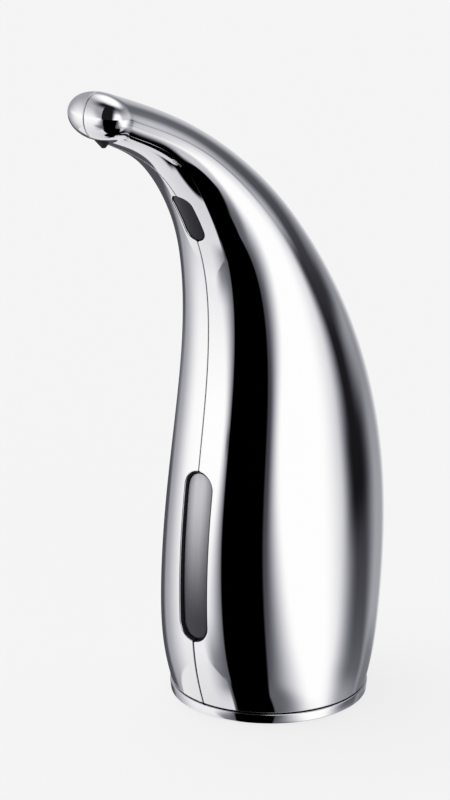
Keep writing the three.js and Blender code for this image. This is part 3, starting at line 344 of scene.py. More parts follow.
def shell_rows():
    """Every row of a half, from the rounded foot to the tip of the nose."""
    rows = []
    foot_slope = horn_point(FOOT_REACH, 0.0)[2] - horn_point(0.0, 0.0)[2]
    for k in range(EDGE_STEPS + 1):
        tilt = math.pi / 2 * k / EDGE_STEPS
        lift = FOOT_RADIUS * (1 - math.cos(tilt))
        rows.append(seam_row(FOOT_REACH * lift / foot_slope, FOOT_RADIUS * (1 - math.sin(tilt)), tilt))
    first = rows[-1].along
    spans = []
    for window in WINDOWS:
        cut = []
        for across, reach, out_x, out_up in window_outline(window, WINDOW_EDGE):
            along, turn = place_on_skin(window, max(across, FOOT_SPLIT_HALF + WINDOW_EDGE), reach)
            cut.append(Row(along, turn, (out_x, out_up), WINDOWS[window].up, WINDOW_EDGE, 0.0, math.pi / 2))
        spans.append((cut[0].along, cut[-1].along))
        rows += cut
        rows.append(seam_row(cut[0].along - ROW_TOUCH))
        rows.append(seam_row(cut[-1].along + ROW_TOUCH))
    for k in range(1, BODY_ROWS + 1):
        along = first + (1 - first) * k / BODY_ROWS
        if all(not low - ROW_GAP < along < high + ROW_GAP for low, high in spans):
            rows.append(seam_row(along))
    for k in range(1, NOSE_ROWS + 1):
        rows.append(seam_row(1 + (NOSE_LAST - 1) * k / NOSE_ROWS))
    return sorted(rows, key=lambda row: (row.along, row.tilt))


half_rows = shell_rows()
print("rows in a half:", len(half_rows))

# %% [markdown]
# One row is a closed loop. It starts at the split or at the window's edge, rounds that edge, crosses the
# outside, rounds the edge at the back and returns on the inside. The formula also gives the outward
# direction at each point, which the mesh keeps as its own normals, so that the chrome reflects smoothly.

# %% Turn a row into a loop of wall
SHELL_WALL = 0.002
SKIN_COLUMNS = 72


def rounded_edge(point, normal, away, radius):
    """The points and directions of an edge, rounded from a skin point towards the cut and down the wall."""
    away = away - normal * np.dot(away, normal)
    away = away / np.linalg.norm(away)
    core = point - normal * radius
    arc, facing = [], []
    for k in range(1, EDGE_STEPS + 1):
        turn = math.pi / 2 * k / EDGE_STEPS
        direction = normal * math.cos(turn) - away * math.sin(turn)
        arc.append(core + direction * radius)
        facing.append(direction)
    arc.append(point - away * radius - normal * SHELL_WALL)
    facing.append(-away)
    return arc, facing


def wall_loop(along, start, out, up, edge_radius, inset, tilt):
    """The closed loop of points and outward directions of one row."""
    centre, half, width = horn_section(along, inset)
    gap = split_half(along)
    edge = gap + edge_radius
    seam = math.asin(min(edge / max(width, edge), 1.0))
    first = seam if start is None else start
    turns = np.linspace(first, math.pi - seam, SKIN_COLUMNS)
    inner_centre, inner_half, inner_width = horn_section(along, inset + SHELL_WALL)
    outer = np.stack([
        np.maximum(width * np.sin(turns), edge),
        centre[0] + half[0] * np.cos(turns),
        centre[1] + half[1] * np.cos(turns),
    ], axis=1)
    inner = np.stack([
        np.maximum(inner_width * np.sin(turns), gap),
        inner_centre[0] + inner_half[0] * np.cos(turns),
        inner_centre[1] + inner_half[1] * np.cos(turns),
    ], axis=1)
    normals = np.array([horn_normal(along, turn) for turn in turns])
    normals = normals * math.sin(tilt) - UP * math.cos(tilt)
    side = np.array([1.0, 0.0, 0.0])
    front_arc, front_facing = rounded_edge(outer[0], normals[0], side * out[0] + up * out[1], edge_radius)
    back_arc, back_facing = rounded_edge(outer[-1], normals[-1], side, edge_radius)
    loop = front_arc[::-1] + list(outer) + back_arc + list(inner[::-1])
    facing = front_facing[::-1] + list(normals) + back_facing + list(-normals[::-1])
    return loop, facing


print("points in a row:", len(wall_loop(*half_rows[-1])[0]))

# %% [markdown]
# The rows are joined into a closed mesh, and the other half is its mirror image. The walls of the cuts
# get a material slot of their own, whose near-black colour is painted shade: it makes the dark line round
# each window and along the split.

# %% Join the rows into the two halves
# the slot of the near-black painted shade on the walls of the cuts
CUT_WALL_SLOT = 1


def object_from(name, points, faces, normals=None):
    """A smooth mesh object, with its own normals where they are known."""
    mesh = bpy.data.meshes.new(name)
    mesh.from_pydata([tuple(p) for p in points], [], faces)
    mesh.validate()
    mesh.polygons.foreach_set("use_smooth", [True] * len(mesh.polygons))
    if normals is not None:
        mesh.normals_split_custom_set_from_vertices([tuple(n) for n in normals])
    piece = bpy.data.objects.new(name, mesh)
    bpy.context.scene.collection.objects.link(piece)
    return piece


def shell_half(name, side):
    """One half of the body, on the side of +X or of -X."""
    loops, facings = [], []
    for row in half_rows:
        loop, facing = wall_loop(*row)
        loops.append(loop)
        facings.append(facing)
    size = len(loops[0])
    mirror = np.array([side, 1.0, 1.0])
    points = np.array(loops).reshape(-1, 3) * mirror
    normals = np.array(facings).reshape(-1, 3) * mirror
    faces = []
    painted_shade_faces = []
    back_wall = size - SKIN_COLUMNS - 2
    for r in range(len(loops) - 1):
        for k in range(size):
            if k in (0, back_wall, size - 1):
                painted_shade_faces.append(len(faces))
            near, far = r * size + k, r * size + (k + 1) % size
            faces.append((near, far, far + size, near + size))
    faces.append(tuple(range(size))[::-1])
    faces.append(tuple(range((len(loops) - 1) * size, len(loops) * size)))
    if side < 0:
        faces = [face[::-1] for face in faces]
    half = object_from(name, points, faces, normals)
    for _ in range(CUT_WALL_SLOT + 1):
        half.data.materials.append(None)
    for face in painted_shade_faces:
        half.data.polygons[face].material_index = CUT_WALL_SLOT
    return half


right_half = shell_half("right_shell_skin", 1)
left_half = shell_half("left_shell_skin", -1)
for piece, node in ((right_half, "right_shell"), (left_half, "left_shell")):
    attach(piece, "housing")
    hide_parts(node)
    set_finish(piece, "chrome_shell")
    print(piece.name, len(piece.data.polygons), "faces")

# %% [markdown]
# ## The lip behind the split
# A real half has a lip that reaches under the other one, so no light gets through the split. Behind the
# thin groove the eye meets this lip. A flat near-black strip along the middle plane stands in for it,
# and its colour paints the shade in the split as a dark line.

# %% Run the lip along the split
LIP_DEPTH = 0.0013
LIP_HALF = 0.0011
LIP_STEPS = 120
LIP_END = 1.985


def lip_strip(name, turn, spans):
    """A strip behind the split, on the front or on the back line, left out where a window is."""
    points, faces = [], []
    previous = False
    for k in range(LIP_STEPS + 1):
        along = LIP_END * k / LIP_STEPS
        if any(low <= along <= high for low, high in spans):
            previous = False
            continue
        for inset in (LIP_DEPTH, SHELL_WALL):
            for side in (-1, 1):
                point = horn_point(along, turn, inset)
                points.append((side * LIP_HALF, point[1], point[2]))
        a = len(points) - 4
        if previous:
            for near, far in ((0, 1), (1, 3), (3, 2), (2, 0)):
                faces.append((a + near - 4, a + far - 4, a + far, a + near))
        previous = True
    return object_from(name, points, faces)


for name, turn, spans in (("front_lip", 0.0, window_spans), ("back_lip", math.pi, [])):
    lip = lip_strip(name, turn, spans)
    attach(lip, "housing")
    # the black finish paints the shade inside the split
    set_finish(lip, "black_plastic")
    print(name, len(lip.data.polygons), "faces")

# %% [markdown]
# ## The window panes
# The panes follow the wall's curve. Each is a sheet with the window's outline, laid on the horn drawn in
# by the pane's depth and thickened inward. The sight window is two of them: a dark sheet behind the wall,
# and a raised middle of smoked plastic that stands in the opening with a rounded edge. The dark sheet
# shows as a narrow border round the middle, and its near-black colour is painted shade at the window's edge.

# %% Lay the panes on the drawn-in horn
FIT_GAP = 0.0003
SIGHT_LIP = 0.002
SIGHT_THICK = 0.0012
SENSOR_RECESS = 0.0005
PANE_COLUMNS = 16
STEP_RISE = 0.0006
STEP_BORDER = 0.0008
STEP_EDGE = 0.0003
STEP_SEGMENTS = 3
MIDDLE_ACROSS = 0.00001


def pane(name, window, grow, inset, thickness):
    """A curved sheet with a window's outline, as thick as asked."""
    points, faces = [], []
    outline = window_outline(window, grow, corner_steps=10, side_steps=30)
    for row, (across, reach, _, _) in enumerate(outline):
        across = max(across, MIDDLE_ACROSS)
        _, edge_turn = place_on_skin(window, across, reach, inset)
        for k in range(PANE_COLUMNS + 1):
            share = 2 * k / PANE_COLUMNS - 1
            turn = edge_turn * share
            along, _ = place_on_skin(window, across * abs(share), reach, inset)
            points.append(horn_point(along, turn, inset))
            if row and k:
                a = len(points) - 1
                below = a - PANE_COLUMNS - 1
                faces.append((below - 1, below, a, a - 1))
    piece = object_from(name, points, faces)
    solidify = piece.modifiers.new("thickness", "SOLIDIFY")
    solidify.thickness = thickness
    solidify.offset = -1
    return piece


# this sheet behind the wall takes the near-black painted shade
sight_pane = pane("sight_pane", "sight", SIGHT_LIP, SHELL_WALL + FIT_GAP, SIGHT_THICK)
step_inset = SHELL_WALL - STEP_RISE
sight_step = pane("sight_step", "sight", -FIT_GAP - STEP_BORDER, step_inset, STEP_RISE + 2 * FIT_GAP)
step_edge = sight_step.modifiers.new("edge", "BEVEL")
step_edge.width = STEP_EDGE
step_edge.segments = STEP_SEGMENTS
sensor_thick = SHELL_WALL + FIT_GAP - SENSOR_RECESS
sensor_pane = pane("sensor_pane", "sensor", -FIT_GAP, SENSOR_RECESS, sensor_thick)
for piece, node, slot in (
    (sight_pane, "sight_window", "smoked_window"),
    (sight_step, "sight_window", "smoked_window"),
    (sensor_pane, "sensor_window", "dark_lens"),
):
    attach(piece, "housing")
    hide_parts(node)
    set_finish(piece, slot)
    print(piece.name, len(piece.data.polygons), "faces")

# %% [markdown]
# ## The trim ring and the nozzle
# Both are turned pieces. A profile of a few corners is revolved, and every outer corner is broken by a
# small arc, because no moulded or turned edge is perfectly sharp and the arc is what catches the light.

# %% Write the turning functions
SHARP_ANGLE = math.radians(35)
MERGE_DISTANCE = 0.0000001


def rounded_profile(corners, radius):
    """A closed outline of radius and height pairs with each corner broken by an arc."""
    result = []
    count = len(corners)
    for k, corner in enumerate(corners):
        here = Vector(corner)
        before = Vector(corners[k - 1]) - here
        after = Vector(corners[(k + 1) % count]) - here
        if corner[0] < radius:
            result.append(tuple(here))
            continue
        reach = min(radius, before.length / 3, after.length / 3)
        start = here + before.normalized() * reach
        end = here + after.normalized() * reach
        for i in range(EDGE_STEPS + 1):
            t = i / EDGE_STEPS
            point = start * (1 - t) ** 2 + here * 2 * t * (1 - t) + end * t ** 2
            result.append(tuple(point))
    return result


def turned(name, profile, sides, out=0.0):
    """Revolves a closed outline about an upright axis in the middle plane, as far out in front as asked."""
    points, faces = [], []
    size = len(profile)
    for s in range(sides):
        angle = 2 * math.pi * s / sides
        for radius, height in profile:
            points.append((radius * math.cos(angle), radius * math.sin(angle) - out, height))
    for s in range(sides):
        following = (s + 1) % sides
        for k in range(size):
            far = (k + 1) % size
            faces.append((s * size + k, following * size + k, following * size + far, s * size + far))
    piece = object_from(name, points, faces)
    piece.data.set_sharp_from_angle(angle=SHARP_ANGLE)
    mesh = bmesh.new()
    mesh.from_mesh(piece.data)
    bmesh.ops.remove_doubles(mesh, verts=mesh.verts, dist=MERGE_DISTANCE)
    bmesh.ops.recalc_face_normals(mesh, faces=mesh.faces)
    mesh.to_mesh(piece.data)
    mesh.free()
    return piece


print("steps in a rounded corner:", EDGE_STEPS)

# %% [markdown]
# The ring is the body's foot. It tapers a little downward, and its lip reaches in under the wall of the
# body, so that the thin gap above the ring ends on chrome.

# %% Turn the trim ring
RING_WALL = 0.0016
FOOT_THICK = 0.0007
RING_TOP = 0.004
RING_EDGE = 0.0003
RING_TAPER = 0.0003
RING_LIP = 0.0079
RING_LIP_THICK = 0.0011
RING_SIDES = 160

ring_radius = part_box("base_ring")[1].x
ring_profile = rounded_profile([
    (ring_radius - RING_TAPER, FOOT_THICK),
    (ring_radius, RING_TOP),
    (ring_radius - RING_LIP, RING_TOP),
    (ring_radius - RING_LIP, RING_TOP - RING_LIP_THICK),
    (ring_radius - RING_WALL, RING_TOP - RING_LIP_THICK),
    (ring_radius - RING_WALL, FOOT_THICK),
], RING_EDGE)
trim_ring = turned("trim_ring", ring_profile, RING_SIDES)
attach(trim_ring, "housing")
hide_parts("base_ring")
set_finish(trim_ring, "chrome_ring")
print("ring radius", round(ring_radius, 5))

# %% [markdown]
# The nozzle is a soft cap: a sleeve in the hole under the nose, a thin rim and a short cone that ends round
# the bore, where the soap drips.

# %% Turn the nozzle
NOZZLE_SIDES = 48
NOZZLE_OUT = 0.0772
NOZZLE_BORE = 0.0009
NOZZLE_BORE_TIP = 0.00045
NOZZLE_TIP = 0.0006
NOZZLE_RIM = 0.0028
NOZZLE_RIM_THICK = 0.0005
NOZZLE_DROP = 0.0036
NOZZLE_LIFT = 0.0006
NOZZLE_SLEEVE = 0.0022
NOZZLE_EDGE = 0.0003

nozzle_low, nozzle_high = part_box("nozzle")
nozzle_profile = rounded_profile([
    (NOZZLE_BORE_TIP, nozzle_low.z + NOZZLE_LIFT),
    (NOZZLE_TIP, nozzle_low.z + NOZZLE_LIFT),
    (NOZZLE_RIM, nozzle_low.z + NOZZLE_DROP - NOZZLE_RIM_THICK),
    (NOZZLE_RIM, nozzle_low.z + NOZZLE_DROP),
    (NOZZLE_SLEEVE, nozzle_low.z + NOZZLE_DROP),
    (NOZZLE_SLEEVE, nozzle_high.z),
    (NOZZLE_BORE, nozzle_high.z),
], NOZZLE_EDGE)
nozzle = turned("drip_nozzle", nozzle_profile, NOZZLE_SIDES, NOZZLE_OUT)
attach(nozzle, "housing")
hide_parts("nozzle")
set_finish(nozzle, "black_rubber")
print("nozzle from", round(nozzle_low.z, 5), "to", round(nozzle_high.z, 5))

# %% [markdown]
# ## Finishes
# Chrome hides nothing, so its shader is simple: a metal with a very low roughness that drifts a little,
# as polished plate does. Under the chrome are moulded plastic, rubber and bare steel with their usual
# finishes. Three small helpers wire the nodes, here and in the room below.

# %% Write the helpers that wire nodes
def connect(tree, given, socket):
    """Feeds a socket from another node's output, or sets it to a number."""
    if isinstance(given, bpy.types.NodeSocket):
        tree.links.new(given, socket)
    else:
        socket.default_value = given


def value_of(tree, operation, *inputs):
    """A math node's result. An input is a number or another node's output."""
    node = tree.nodes.new("ShaderNodeMath")
    node.operation = operation
    for socket, given in zip(node.inputs, inputs):
        connect(tree, given, socket)
    return node.outputs[0]


def remapped(tree, value, start, end, low, high, soft=True):
    """A value carried from one range to another, held at the ends of the range."""
    node = tree.nodes.new("ShaderNodeMapRange")
    node.interpolation_type = "SMOOTHSTEP" if soft else "LINEAR"
    connect(tree, value, node.inputs["Value"])
    connect(tree, start, node.inputs["From Min"])
    connect(tree, end, node.inputs["From Max"])
    connect(tree, low, node.inputs["To Min"])
    connect(tree, high, node.inputs["To Max"])
    return node.outputs["Result"]


print("helpers: connect, value_of and remapped")

# %% [markdown]
# The finishes share two groups. One makes the fine grain of moulded plastic and rubber, the other the
# slight smudges that vary the gloss. A group is built once, and each material sets its own numbers on it.

# %% Build the shared groups
GRAIN_SCALE = 2500.0
GRAIN_DEPTH = 0.00002
GRAIN_DETAIL = 3
TONE_SCALE = 60
SMUDGE_SCALE = 70.0
SMUDGE_DETAIL = 4
SMUDGE_FADE = (0.35, 0.7)
SMUDGE_ROUGHNESS = (0.03, 0.06)


def new_group(name, inputs, outputs):
    """An empty node group with named sockets, and its input and output nodes."""
    group = bpy.data.node_groups.new(name, "ShaderNodeTree")
    for label, default in inputs:
        socket = group.interface.new_socket(label, in_out="INPUT", socket_type="NodeSocketFloat")
        socket.default_value = default
    for label in outputs:
        group.interface.new_socket(label, in_out="OUTPUT", socket_type="NodeSocketFloat")
    return group, group.nodes.new("NodeGroupInput"), group.nodes.new("NodeGroupOutput")


def build_grain():
    """Fine grain as a height, and a broad drift of the colour as a tone."""
    inputs = [("Scale", GRAIN_SCALE), ("Depth", GRAIN_DEPTH)]
    group, given, result = new_group("moulded_grain", inputs, ["Height", "Tone"])
    place = group.nodes.new("ShaderNodeTexCoord")
    fine = group.nodes.new("ShaderNodeTexNoise")
    fine.inputs["Detail"].default_value = GRAIN_DETAIL
    broad = group.nodes.new("ShaderNodeTexNoise")
    broad.inputs["Scale"].default_value = TONE_SCALE
    group.links.new(place.outputs["Object"], fine.inputs["Vector"])
    group.links.new(place.outputs["Object"], broad.inputs["Vector"])
    group.links.new(given.outputs["Scale"], fine.inputs["Scale"])
    height = value_of(group, "MULTIPLY", fine.outputs["Fac"], given.outputs["Depth"])
    group.links.new(height, result.inputs["Height"])
    group.links.new(broad.outputs["Fac"], result.inputs["Tone"])
    return group


def build_smudges():
    """A roughness that drifts in soft clouds between a low and a high value."""
    inputs = [("Scale", SMUDGE_SCALE), ("Low", SMUDGE_ROUGHNESS[0]), ("High", SMUDGE_ROUGHNESS[1])]
    group, given, result = new_group("smudges", inputs, ["Roughness"])
    place = group.nodes.new("ShaderNodeTexCoord")
    cloud = group.nodes.new("ShaderNodeTexNoise")
    cloud.inputs["Detail"].default_value = SMUDGE_DETAIL
    group.links.new(place.outputs["Object"], cloud.inputs["Vector"])
    group.links.new(given.outputs["Scale"], cloud.inputs["Scale"])
    low, high = given.outputs["Low"], given.outputs["High"]
    spread = remapped(group, cloud.outputs["Fac"], *SMUDGE_FADE, low, high, soft=False)
    group.links.new(spread, result.inputs["Roughness"])
    return group


grain_group = build_grain()
smudge_group = build_smudges()
print("groups:", grain_group.name, smudge_group.name)

# %% [markdown]
# Each material comes from a maker. Low and high are always the ends between which the roughness drifts.
# Metal needs no more than its colour and that drift.

# %% Write the maker of metal
def new_material(name):
    """A material with its node tree and its shader."""
    material = bpy.data.materials.new(name)
    material.use_nodes = True
    return material, material.node_tree, material.node_tree.nodes["Principled BSDF"]


def add_smudges(tree, shader, scale, low, high):
    """Lets the roughness drift between two values."""
    smudges = tree.nodes.new("ShaderNodeGroup")
    smudges.node_tree = smudge_group
    smudges.inputs["Scale"].default_value = scale
    smudges.inputs["Low"].default_value = low
    smudges.inputs["High"].default_value = high
    tree.links.new(smudges.outputs["Roughness"], shader.inputs["Roughness"])


def metal(name, color, low, high, scale=SMUDGE_SCALE):
    """Bare or plated metal."""
    material, tree, shader = new_material(name)
    shader.inputs["Base Color"].default_value = (*color, 1)
    shader.inputs["Metallic"].default_value = 1.0
    add_smudges(tree, shader, scale, low, high)
    return material


print("size of the smudges on metal:", SMUDGE_SCALE)

# %% [markdown]
# Moulded plastic and rubber get the grain as a fine bump and its tone as a slight drift of their colour.
# Clear plastic passes a share of the light and bends it as much as the real one does.

# %% Write the makers of plastic and rubber
TONE_DRIFT = 0.12
MOULDED_SMUDGES = 90.0
CLEAR_SMUDGES = 50.0
PLASTIC_IOR = 1.49


def moulded(name, color, low, high, grain_scale=GRAIN_SCALE, grain_depth=GRAIN_DEPTH, drift=TONE_DRIFT):
    """Moulded plastic or rubber with a fine grain and a slight drift of its colour."""
    material, tree, shader = new_material(name)
    grain = tree.nodes.new("ShaderNodeGroup")
    grain.node_tree = grain_group
    grain.inputs["Scale"].default_value = grain_scale
    grain.inputs["Depth"].default_value = grain_depth
    bump = tree.nodes.new("ShaderNodeBump")
    bump.inputs["Distance"].default_value = 1.0
    tree.links.new(grain.outputs["Height"], bump.inputs["Height"])
    tree.links.new(bump.outputs["Normal"], shader.inputs["Normal"])
    shade = tree.nodes.new("ShaderNodeMix")
    shade.data_type = "RGBA"
    shade.inputs["A"].default_value = (*[c * (1 - drift) for c in color], 1)
    shade.inputs["B"].default_value = (*[min(c * (1 + drift), 1.0) for c in color], 1)
    tree.links.new(grain.outputs["Tone"], shade.inputs["Factor"])
    tree.links.new(shade.outputs["Result"], shader.inputs["Base Color"])
    add_smudges(tree, shader, MOULDED_SMUDGES, low, high)
    return material


def clear(name, color, low, high, transmission):
    """Plastic that passes a share of the light."""
    material, tree, shader = new_material(name)
    shader.inputs["Base Color"].default_value = (*color, 1)
    shader.inputs["Transmission Weight"].default_value = transmission
    shader.inputs["IOR"].default_value = PLASTIC_IOR
    add_smudges(tree, shader, CLEAR_SMUDGES, low, high)
    return material


print("their colour drifts by", TONE_DRIFT, "of itself each way")

# %% [markdown]
# Three pieces that show get makers of their own. The smoked pane has painted light in its colour: it is
# lighter towards its top, as painted light from above, and darker towards its sides, as painted shade
# under the wall's edges. The lens and the nozzle are moulded plastic and rubber with little gloss,
# because both look nearly black in the photograph.

# %% Write the makers of the pane, the lens and the nozzle
PAINTED_LIGHT_FOOT = 0.033
PAINTED_LIGHT_TOP = 0.083
PAINTED_SIDE_SHADE_START = 0.001
PAINTED_SIDE_SHADE_SHARE = 0.45
SMOKE_GLOSS = 0.3
LENS_GRAIN_SCALE = 400.0
LENS_TONE_DRIFT = 0.05
LENS_GLOSS = 0.12
RUBBER_GLOSS = 0.2


def smoked_pane_with_painted_light(name, top, foot, low, high):
    """Smoked plastic whose colour holds painted light: lighter at its top and middle, darker at its foot and
    sides.
    """
    material, tree, shader = new_material(name)
    place = tree.nodes.new("ShaderNodeTexCoord")
    split = tree.nodes.new("ShaderNodeSeparateXYZ")
    tree.links.new(place.outputs["Object"], split.inputs[0])
    # painted light: the colour lightens from the foot towards the top, as if lit from above
    painted_top_light = remapped(tree, split.outputs["Z"], PAINTED_LIGHT_FOOT, PAINTED_LIGHT_TOP, 0.0, 1.0)
    # painted shade: the colour darkens towards the sides, under the wall's edges
    sideways = value_of(tree, "ABSOLUTE", split.outputs["X"])
    edge = SIGHT_WIDTH / 2 - STEP_BORDER
    painted_side_shade = remapped(tree, sideways, PAINTED_SIDE_SHADE_START, edge, 1.0, PAINTED_SIDE_SHADE_SHARE)
    tone = tree.nodes.new("ShaderNodeMix")
    tone.data_type = "RGBA"
    tone.inputs["A"].default_value = (*foot, 1)
    tone.inputs["B"].default_value = (*top, 1)
    tree.links.new(value_of(tree, "MULTIPLY", painted_top_light, painted_side_shade), tone.inputs["Factor"])
    tree.links.new(tone.outputs["Result"], shader.inputs["Base Color"])
    shader.inputs["Specular IOR Level"].default_value = SMOKE_GLOSS
    add_smudges(tree, shader, CLEAR_SMUDGES, low, high)
    return material


def lens_plastic(name, color, low, high):
    """Plastic that passes only infrared light and looks nearly black, with a faint cloud in its colour."""
    material = moulded(name, color, low, high, LENS_GRAIN_SCALE, 0.0, LENS_TONE_DRIFT)
    material.node_tree.nodes["Principled BSDF"].inputs["Specular IOR Level"].default_value = LENS_GLOSS
    return material


def black_silicone(name, color, low, high):
    """Silicone that is dull as well as dark."""
    material = moulded(name, color, low, high)
    material.node_tree.nodes["Principled BSDF"].inputs["Specular IOR Level"].default_value = RUBBER_GLOSS
    return material


print("smoked pane lightens from", PAINTED_LIGHT_FOOT, "to", PAINTED_LIGHT_TOP, "above the floor")

# %% [markdown]
# Colours follow the photograph where the piece shows, and the usual colours of the trade where it doesn't.
# Each finish has its colour and the lowest and highest roughness.

# %% Mix the finishes
STEEL_SMUDGES = 300.0

# near-black painted shade for the walls of the cuts and the sheet behind the smoked pane
painted_shade_material = moulded("painted_shade_plastic", (0.022, 0.021, 0.028), 0.25, 0.4)
materials = {
    "chrome_shell": metal("chrome_plate", (0.93, 0.93, 0.935), 0.015, 0.035),
    "chrome_ring": metal("chrome_ring_plate", (0.93, 0.93, 0.935), 0.02, 0.045),
    # the smoked pane's top and foot colours are the ends of its painted light from above
    "smoked_window": smoked_pane_with_painted_light("smoked_acrylic_painted_light", (0.78, 0.78, 0.81), (0.04, 0.04, 0.052), 0.05, 0.1),
    "dark_lens": lens_plastic("dark_acrylic", (0.015, 0.014, 0.02), 0.06, 0.12),
    "black_rubber": black_silicone("black_silicone", (0.012, 0.012, 0.014), 0.45, 0.6),
    "grey_rubber": moulded("grey_silicone", (0.14, 0.14, 0.145), 0.55, 0.75),
    "black_plastic": moulded("black_abs", (0.018, 0.018, 0.019), 0.4, 0.55),
    "white_plastic": moulded("white_acetal", (0.7, 0.7, 0.68), 0.35, 0.5),
    "clear_plastic": clear("tank_plastic", (0.9, 0.92, 0.94), 0.15, 0.3, 0.8),
    "circuit_board": moulded("solder_mask", (0.02, 0.16, 0.06), 0.3, 0.45),
    "nylon": moulded("natural_nylon", (0.78, 0.74, 0.64), 0.35, 0.5),
    "steel": metal("plain_steel", (0.6, 0.6, 0.61), 0.22, 0.38, STEEL_SMUDGES),
    "clear_hose": clear("hose_vinyl", (0.92, 0.94, 0.95), 0.12, 0.25, 0.7),
    "blue_sleeve": moulded("battery_sleeve", (0.05, 0.11, 0.28), 0.25, 0.35),
    "white_lens": clear("led_epoxy", (0.95, 0.97, 1.0), 0.05, 0.1, 0.9),
}
print("finishes:", len(materials))

# %% [markdown]
# A imported node takes the finish that its record names. A new piece takes the one of its slot, apart from
# the walls of the cuts and the dark sheet behind the smoked pane, which take the near-black painted shade.

# %% Put the finishes on the pieces
for entry in frame["record"]["subparts"]:
    node = nodes[entry["node"]]
    if node.material_slots:
        for material_slot in node.material_slots:
            material_slot.material = materials[entry["material_slot"]]
    else:
        node.data.materials.append(materials[entry["material_slot"]])
for piece in bpy.data.objects:
    if piece.get("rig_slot"):
        if not piece.data.materials:
            piece.data.materials.append(None)
        piece.data.materials[0] = materials[piece["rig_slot"]]
# the walls of the cuts and the sheet behind the smoked pane get the painted shade
for half in (right_half, left_half):
    half.data.materials[CUT_WALL_SLOT] = painted_shade_material
sight_pane.data.materials[0] = painted_shade_material
used = {slot.material.name for piece in bpy.data.objects for slot in piece.material_slots}
print("materials on the pieces:", len(used))

# %% [markdown]
# ## Studio
# Chrome has no colour of its own: what it shows is the room. So the room is built as a photographer would
# hang it, out of cards: two white walls, a black flag just beside the lens, dark strips that draw the
# dark edges of the body, and pale cards low down that stand for the floor. Each card is a patch of the
# sky round the product. Its edges are soft, its sides may lean and its brightness may change from its low
# edge to its high one. A card further down the list hides the ones before it. Directions are degrees:
# sideways from the camera's own side, to the right as the picture shows it, and up from the horizon.

# %% List the cards of the room
Card = namedtuple("Card", "name middle low high left right level")


def card(name, middle, low, high, left, right, level):
    """A card whose left and right edge and level may each be given once or for its low and its high edge."""
    left = left if isinstance(left[0], tuple) else (left, left)
    right = right if isinstance(right[0], tuple) else (right, right)
    level = level if isinstance(level, tuple) else (level, level)
    return Card(name, middle, low, high, left, right, level)


# Low and high give the edge and its softness. Left, right and level are given at the low and at the high
# edge, left and right as a distance from the card's middle and a softness.
CARDS = [
    card("darkness below", 0, (-90, 1), (-64, 18), (-180, 1), (180, 1), 0.0),
    card("pale floor right", 60, (-62, 13), (-40, 10), (-10, 35), (15, 15), 0.6),
    card("dim right", 110, (0, 20), (90, 1), (-60, 20), (50, 20), 0.2),
    card("grey right", 75, (-5, 5), (8, 45), (-35, 20), (25, 60), 0.62),
    card("rim light behind", 180, (-24, 4), (20, 15), ((-8, 20), (-6, 44)), (2, 8), (0.9, 0.35)),
    card("low strip behind", 180, (-39, 3), (-26, 4), (-40, 15), (20, 10), (0.1, 0.2)),
    card("left wall", -80, (-46, 10), (-4, 8), (-17, 46), (50, 6), (0.76, 1.06)),
    card("left wall top", -80, (-4, 4), (34, 25), (-17, 46), ((18, 26), (4, 20)), (1.06, 0.5)),
    card("right wall", 30, (-39, 12), (-8, 10), (-40, 5), ((36, 36), (36, 42)), 1.06),
    card("right wall top", 10, (-6, 6), (24, 18), (-30, 5), ((24, 20), (14, 30)), 1.06),
    card("dark strip foot", 105, (-28, 10), (-11, 3), ((4, 36), (0, 20)), ((18, 12), (4, 30)), (0.12, 0.01)),
    card("dark strip", 105, (-13, 4), (-1, 3), ((0, 18), (-1, 20)), ((2, 30), (8, 36)), (0.008, 0.015)),
    card("dark strip top", 118, (-2, 4), (22, 10), ((-13, 20), (16, 26)), ((-2, 36), (30, 30)), (0.03, 0.13)),
    card("dark strip left", -155, (-44, 5), (-17, 5), (-25, 9), (2, 12), 0.08),
    card("shade left", -52, (-46, 4), (-36, 14), ((-20, 4), (-4, 16)), (14, 3), (0.15, 0.35)),
    card("pale floor left", -115, (-71, 4), (-44, 3), (-95, 20), ((105, 3), (66, 3)), (0.68, 0.8)),
    card("pale floor top", -115, (-46, 3), (-36, 1.5), ((-28, 6), (-20, 6)), ((70, 3), (48, 3)), (0.8, 0.84)),
    card("pale floor tip", -79, (-37, 1), (-32, 8), ((-11, 6), (-8, 6)), ((12, 3), (8, 5)), (0.84, 0.9)),
    card("foot behind", 180, (-90, 1), (-68, 6), (-30, 20), (12, 20), 0.0),
    card("dark ceiling", -20, (60, 22), (70, 10), (-40, 50), (20, 100), 0.012),
    card("flag top", -20, (-3.5, 0.5), (62, 12), (-20, 2), ((9, 12), (16, 30)), 0.0105),
    card("flag shade", -15, (-46, 8), (-2.5, 0.8), ((-20, 46), (-20, 12)), ((20, 58), (28, 10)), (0.1, 0.05)),
    card("shade foot", -15, (-90, 1), (-46, 10), ((-48, 3), (-31, 3)), ((60, 40), (20, 52)), (0.03, 0.12)),
    card("black flag", -15, (-48, 4), (-2.5, 0.8), ((-27, 2), (-21, 2)), ((19, 3), (24, 3)), 0.0),
    card("black flag foot", -15, (-56, 2), (-46, 4), ((-31, 3), (-28, 3)), ((28, 4), (18, 4)), 0.0),
    card("black flag toe", -15, (-90, 1), (-56, 4), ((-46, 3), (-33, 3)), ((115, 8), (52, 8)), 0.0),
]
ROOM_LEVEL = 0.37
BACKGROUND_LEVEL = 0.935
print("cards in the room:", len(CARDS))

# %% [markdown]
# The world shader holds the cards. Each one is a product of four soft steps, two over the height and two
# over the side, and it mixes its own brightness over what the cards before it left.

# %% Work out how much a card hides
HALF_TURN = 180.0


def leaning(tree, height, card, low, high):
    """A number that changes evenly from a card's low edge to its high one."""
    if low == high:
        return low
    return remapped(tree, height, card.low[0], card.high[0], low, high, soft=False)


